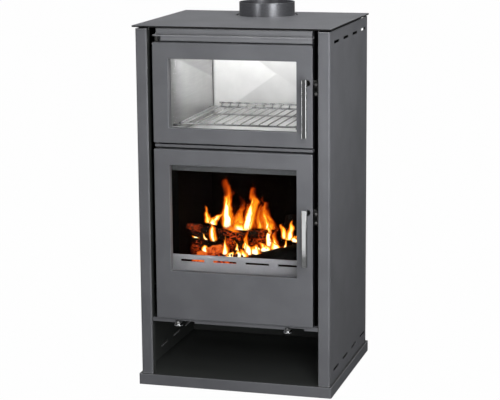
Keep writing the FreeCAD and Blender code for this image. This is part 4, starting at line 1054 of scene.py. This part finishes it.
# %% Flames
flame_places = (
    (-89, 36, 372, 92, 152, 0, 0.6), (-90, 31, 372, 66, 128, 1, 1.0),
    (-90, 26, 372, 46, 104, 2, 1.6), (-27, 36, 372, 88, 142, 7, 0.6),
    (-31, 31, 370, 58, 116, 8, 1.0), (-34, 26, 370, 36, 94, 7, 1.5),
    (-62, 40, 366, 90, 62, 0, 0.7), (-60, 46, 370, 74, 86, 4, 0.5),
    (-2, 46, 372, 52, 62, 3, 0.6), (14, 46, 376, 48, 92, -6, 0.6),
    (18, 42, 374, 36, 66, -8, 0.95), (30, 40, 366, 44, 46, -10, 0.7),
    (-137, 10, 390, 34, 48, -8, 0.9), (-121, 16, 396, 30, 42, 30, 0.85),
    (-128, 14, 386, 44, 30, 10, 1.1), (-96, -75, 359, 24, 60, -6, 1.1),
    (-96, -72, 359, 38, 66, -6, 0.6), (-113, -106, 338, 34, 18, 20, 1.3),
    (-57, -106, 332, 28, 42, 0, 1.5), (-57, -102, 334, 44, 32, 0, 0.8),
    (-26, -98, 334, 16, 36, 5, 1.1), (-12, -60, 334, 36, 68, -3, 0.75),
    (-10, -63, 336, 20, 42, 0, 1.2), (-40, -108, 324, 32, 20, 0, 1.4),
    (-18, -106, 328, 32, 22, 0, 1.4), (4, -99, 332, 32, 24, 0, 1.4),
    (26, -97, 340, 34, 32, 10, 1.5), (42, -92, 344, 28, 28, 0, 1.4),
    (56, -75, 346, 32, 66, 3, 1.7), (58, -72, 346, 48, 52, 2, 0.8),
    (74, -70, 348, 28, 38, -6, 1.0), (84, -20, 364, 30, 44, -14, 0.95),
    (98, -20, 362, 28, 48, 2, 1.15), (92, -17, 360, 54, 32, 0, 0.7),
    (122, -58, 366, 30, 22, 0, 1.5), (106, -88, 350, 18, 42, 8, 1.0),
    (100, 50, 348, 64, 58, 0, 0.45), (-150, -62, 364, 34, 14, 0, 1.2),
    (-122, -60, 360, 26, 20, 0, 1.3), (-62, 26, 366, 130, 30, 0, 1.1),
    (-38, -107, 326, 60, 17, 0, 1.2), (-8, -104, 328, 60, 19, 0, 1.2),
    (22, -99, 336, 60, 22, 8, 1.2), (48, -90, 343, 52, 24, 5, 1.2),
    (74, -78, 347, 50, 26, 0, 1.1), (-62, -12, 362, 150, 36, 0, 0.5),
    (-66, -14, 340, 110, 20, 0, 0.55), (24, 44, 366, 84, 86, -8, 0.5),
    (72, -66, 346, 46, 62, -4, 0.5), (120, -16, 352, 44, 44, 0, 0.45),
    (-146, -52, 372, 40, 26, 10, 0.55),
)
fan_step = 37
fan_width = 50
feet = []
flame_marks = {"turn": [], "spread": [], "glow": []}
for number, (x, y, z, width, tall, lean, heat) in enumerate(flame_places):
    fan = fan_step * number % fan_width - fan_width / 2
    feet.append((x * MM, y * MM, z * MM))
    flame_marks["turn"].append((0, radians(lean), radians(fan)))
    flame_marks["spread"].append((width * MM, 1.0, tall * MM))
    flame_marks["glow"].append(heat)
flame_points = marked_mesh("flames", feet, flame_marks)
flames = made_real("flames", flame_tree, flame_points, {"Sway": 22 * MM})
bpy.data.objects.remove(tongue)
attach(flames, "cabinet")
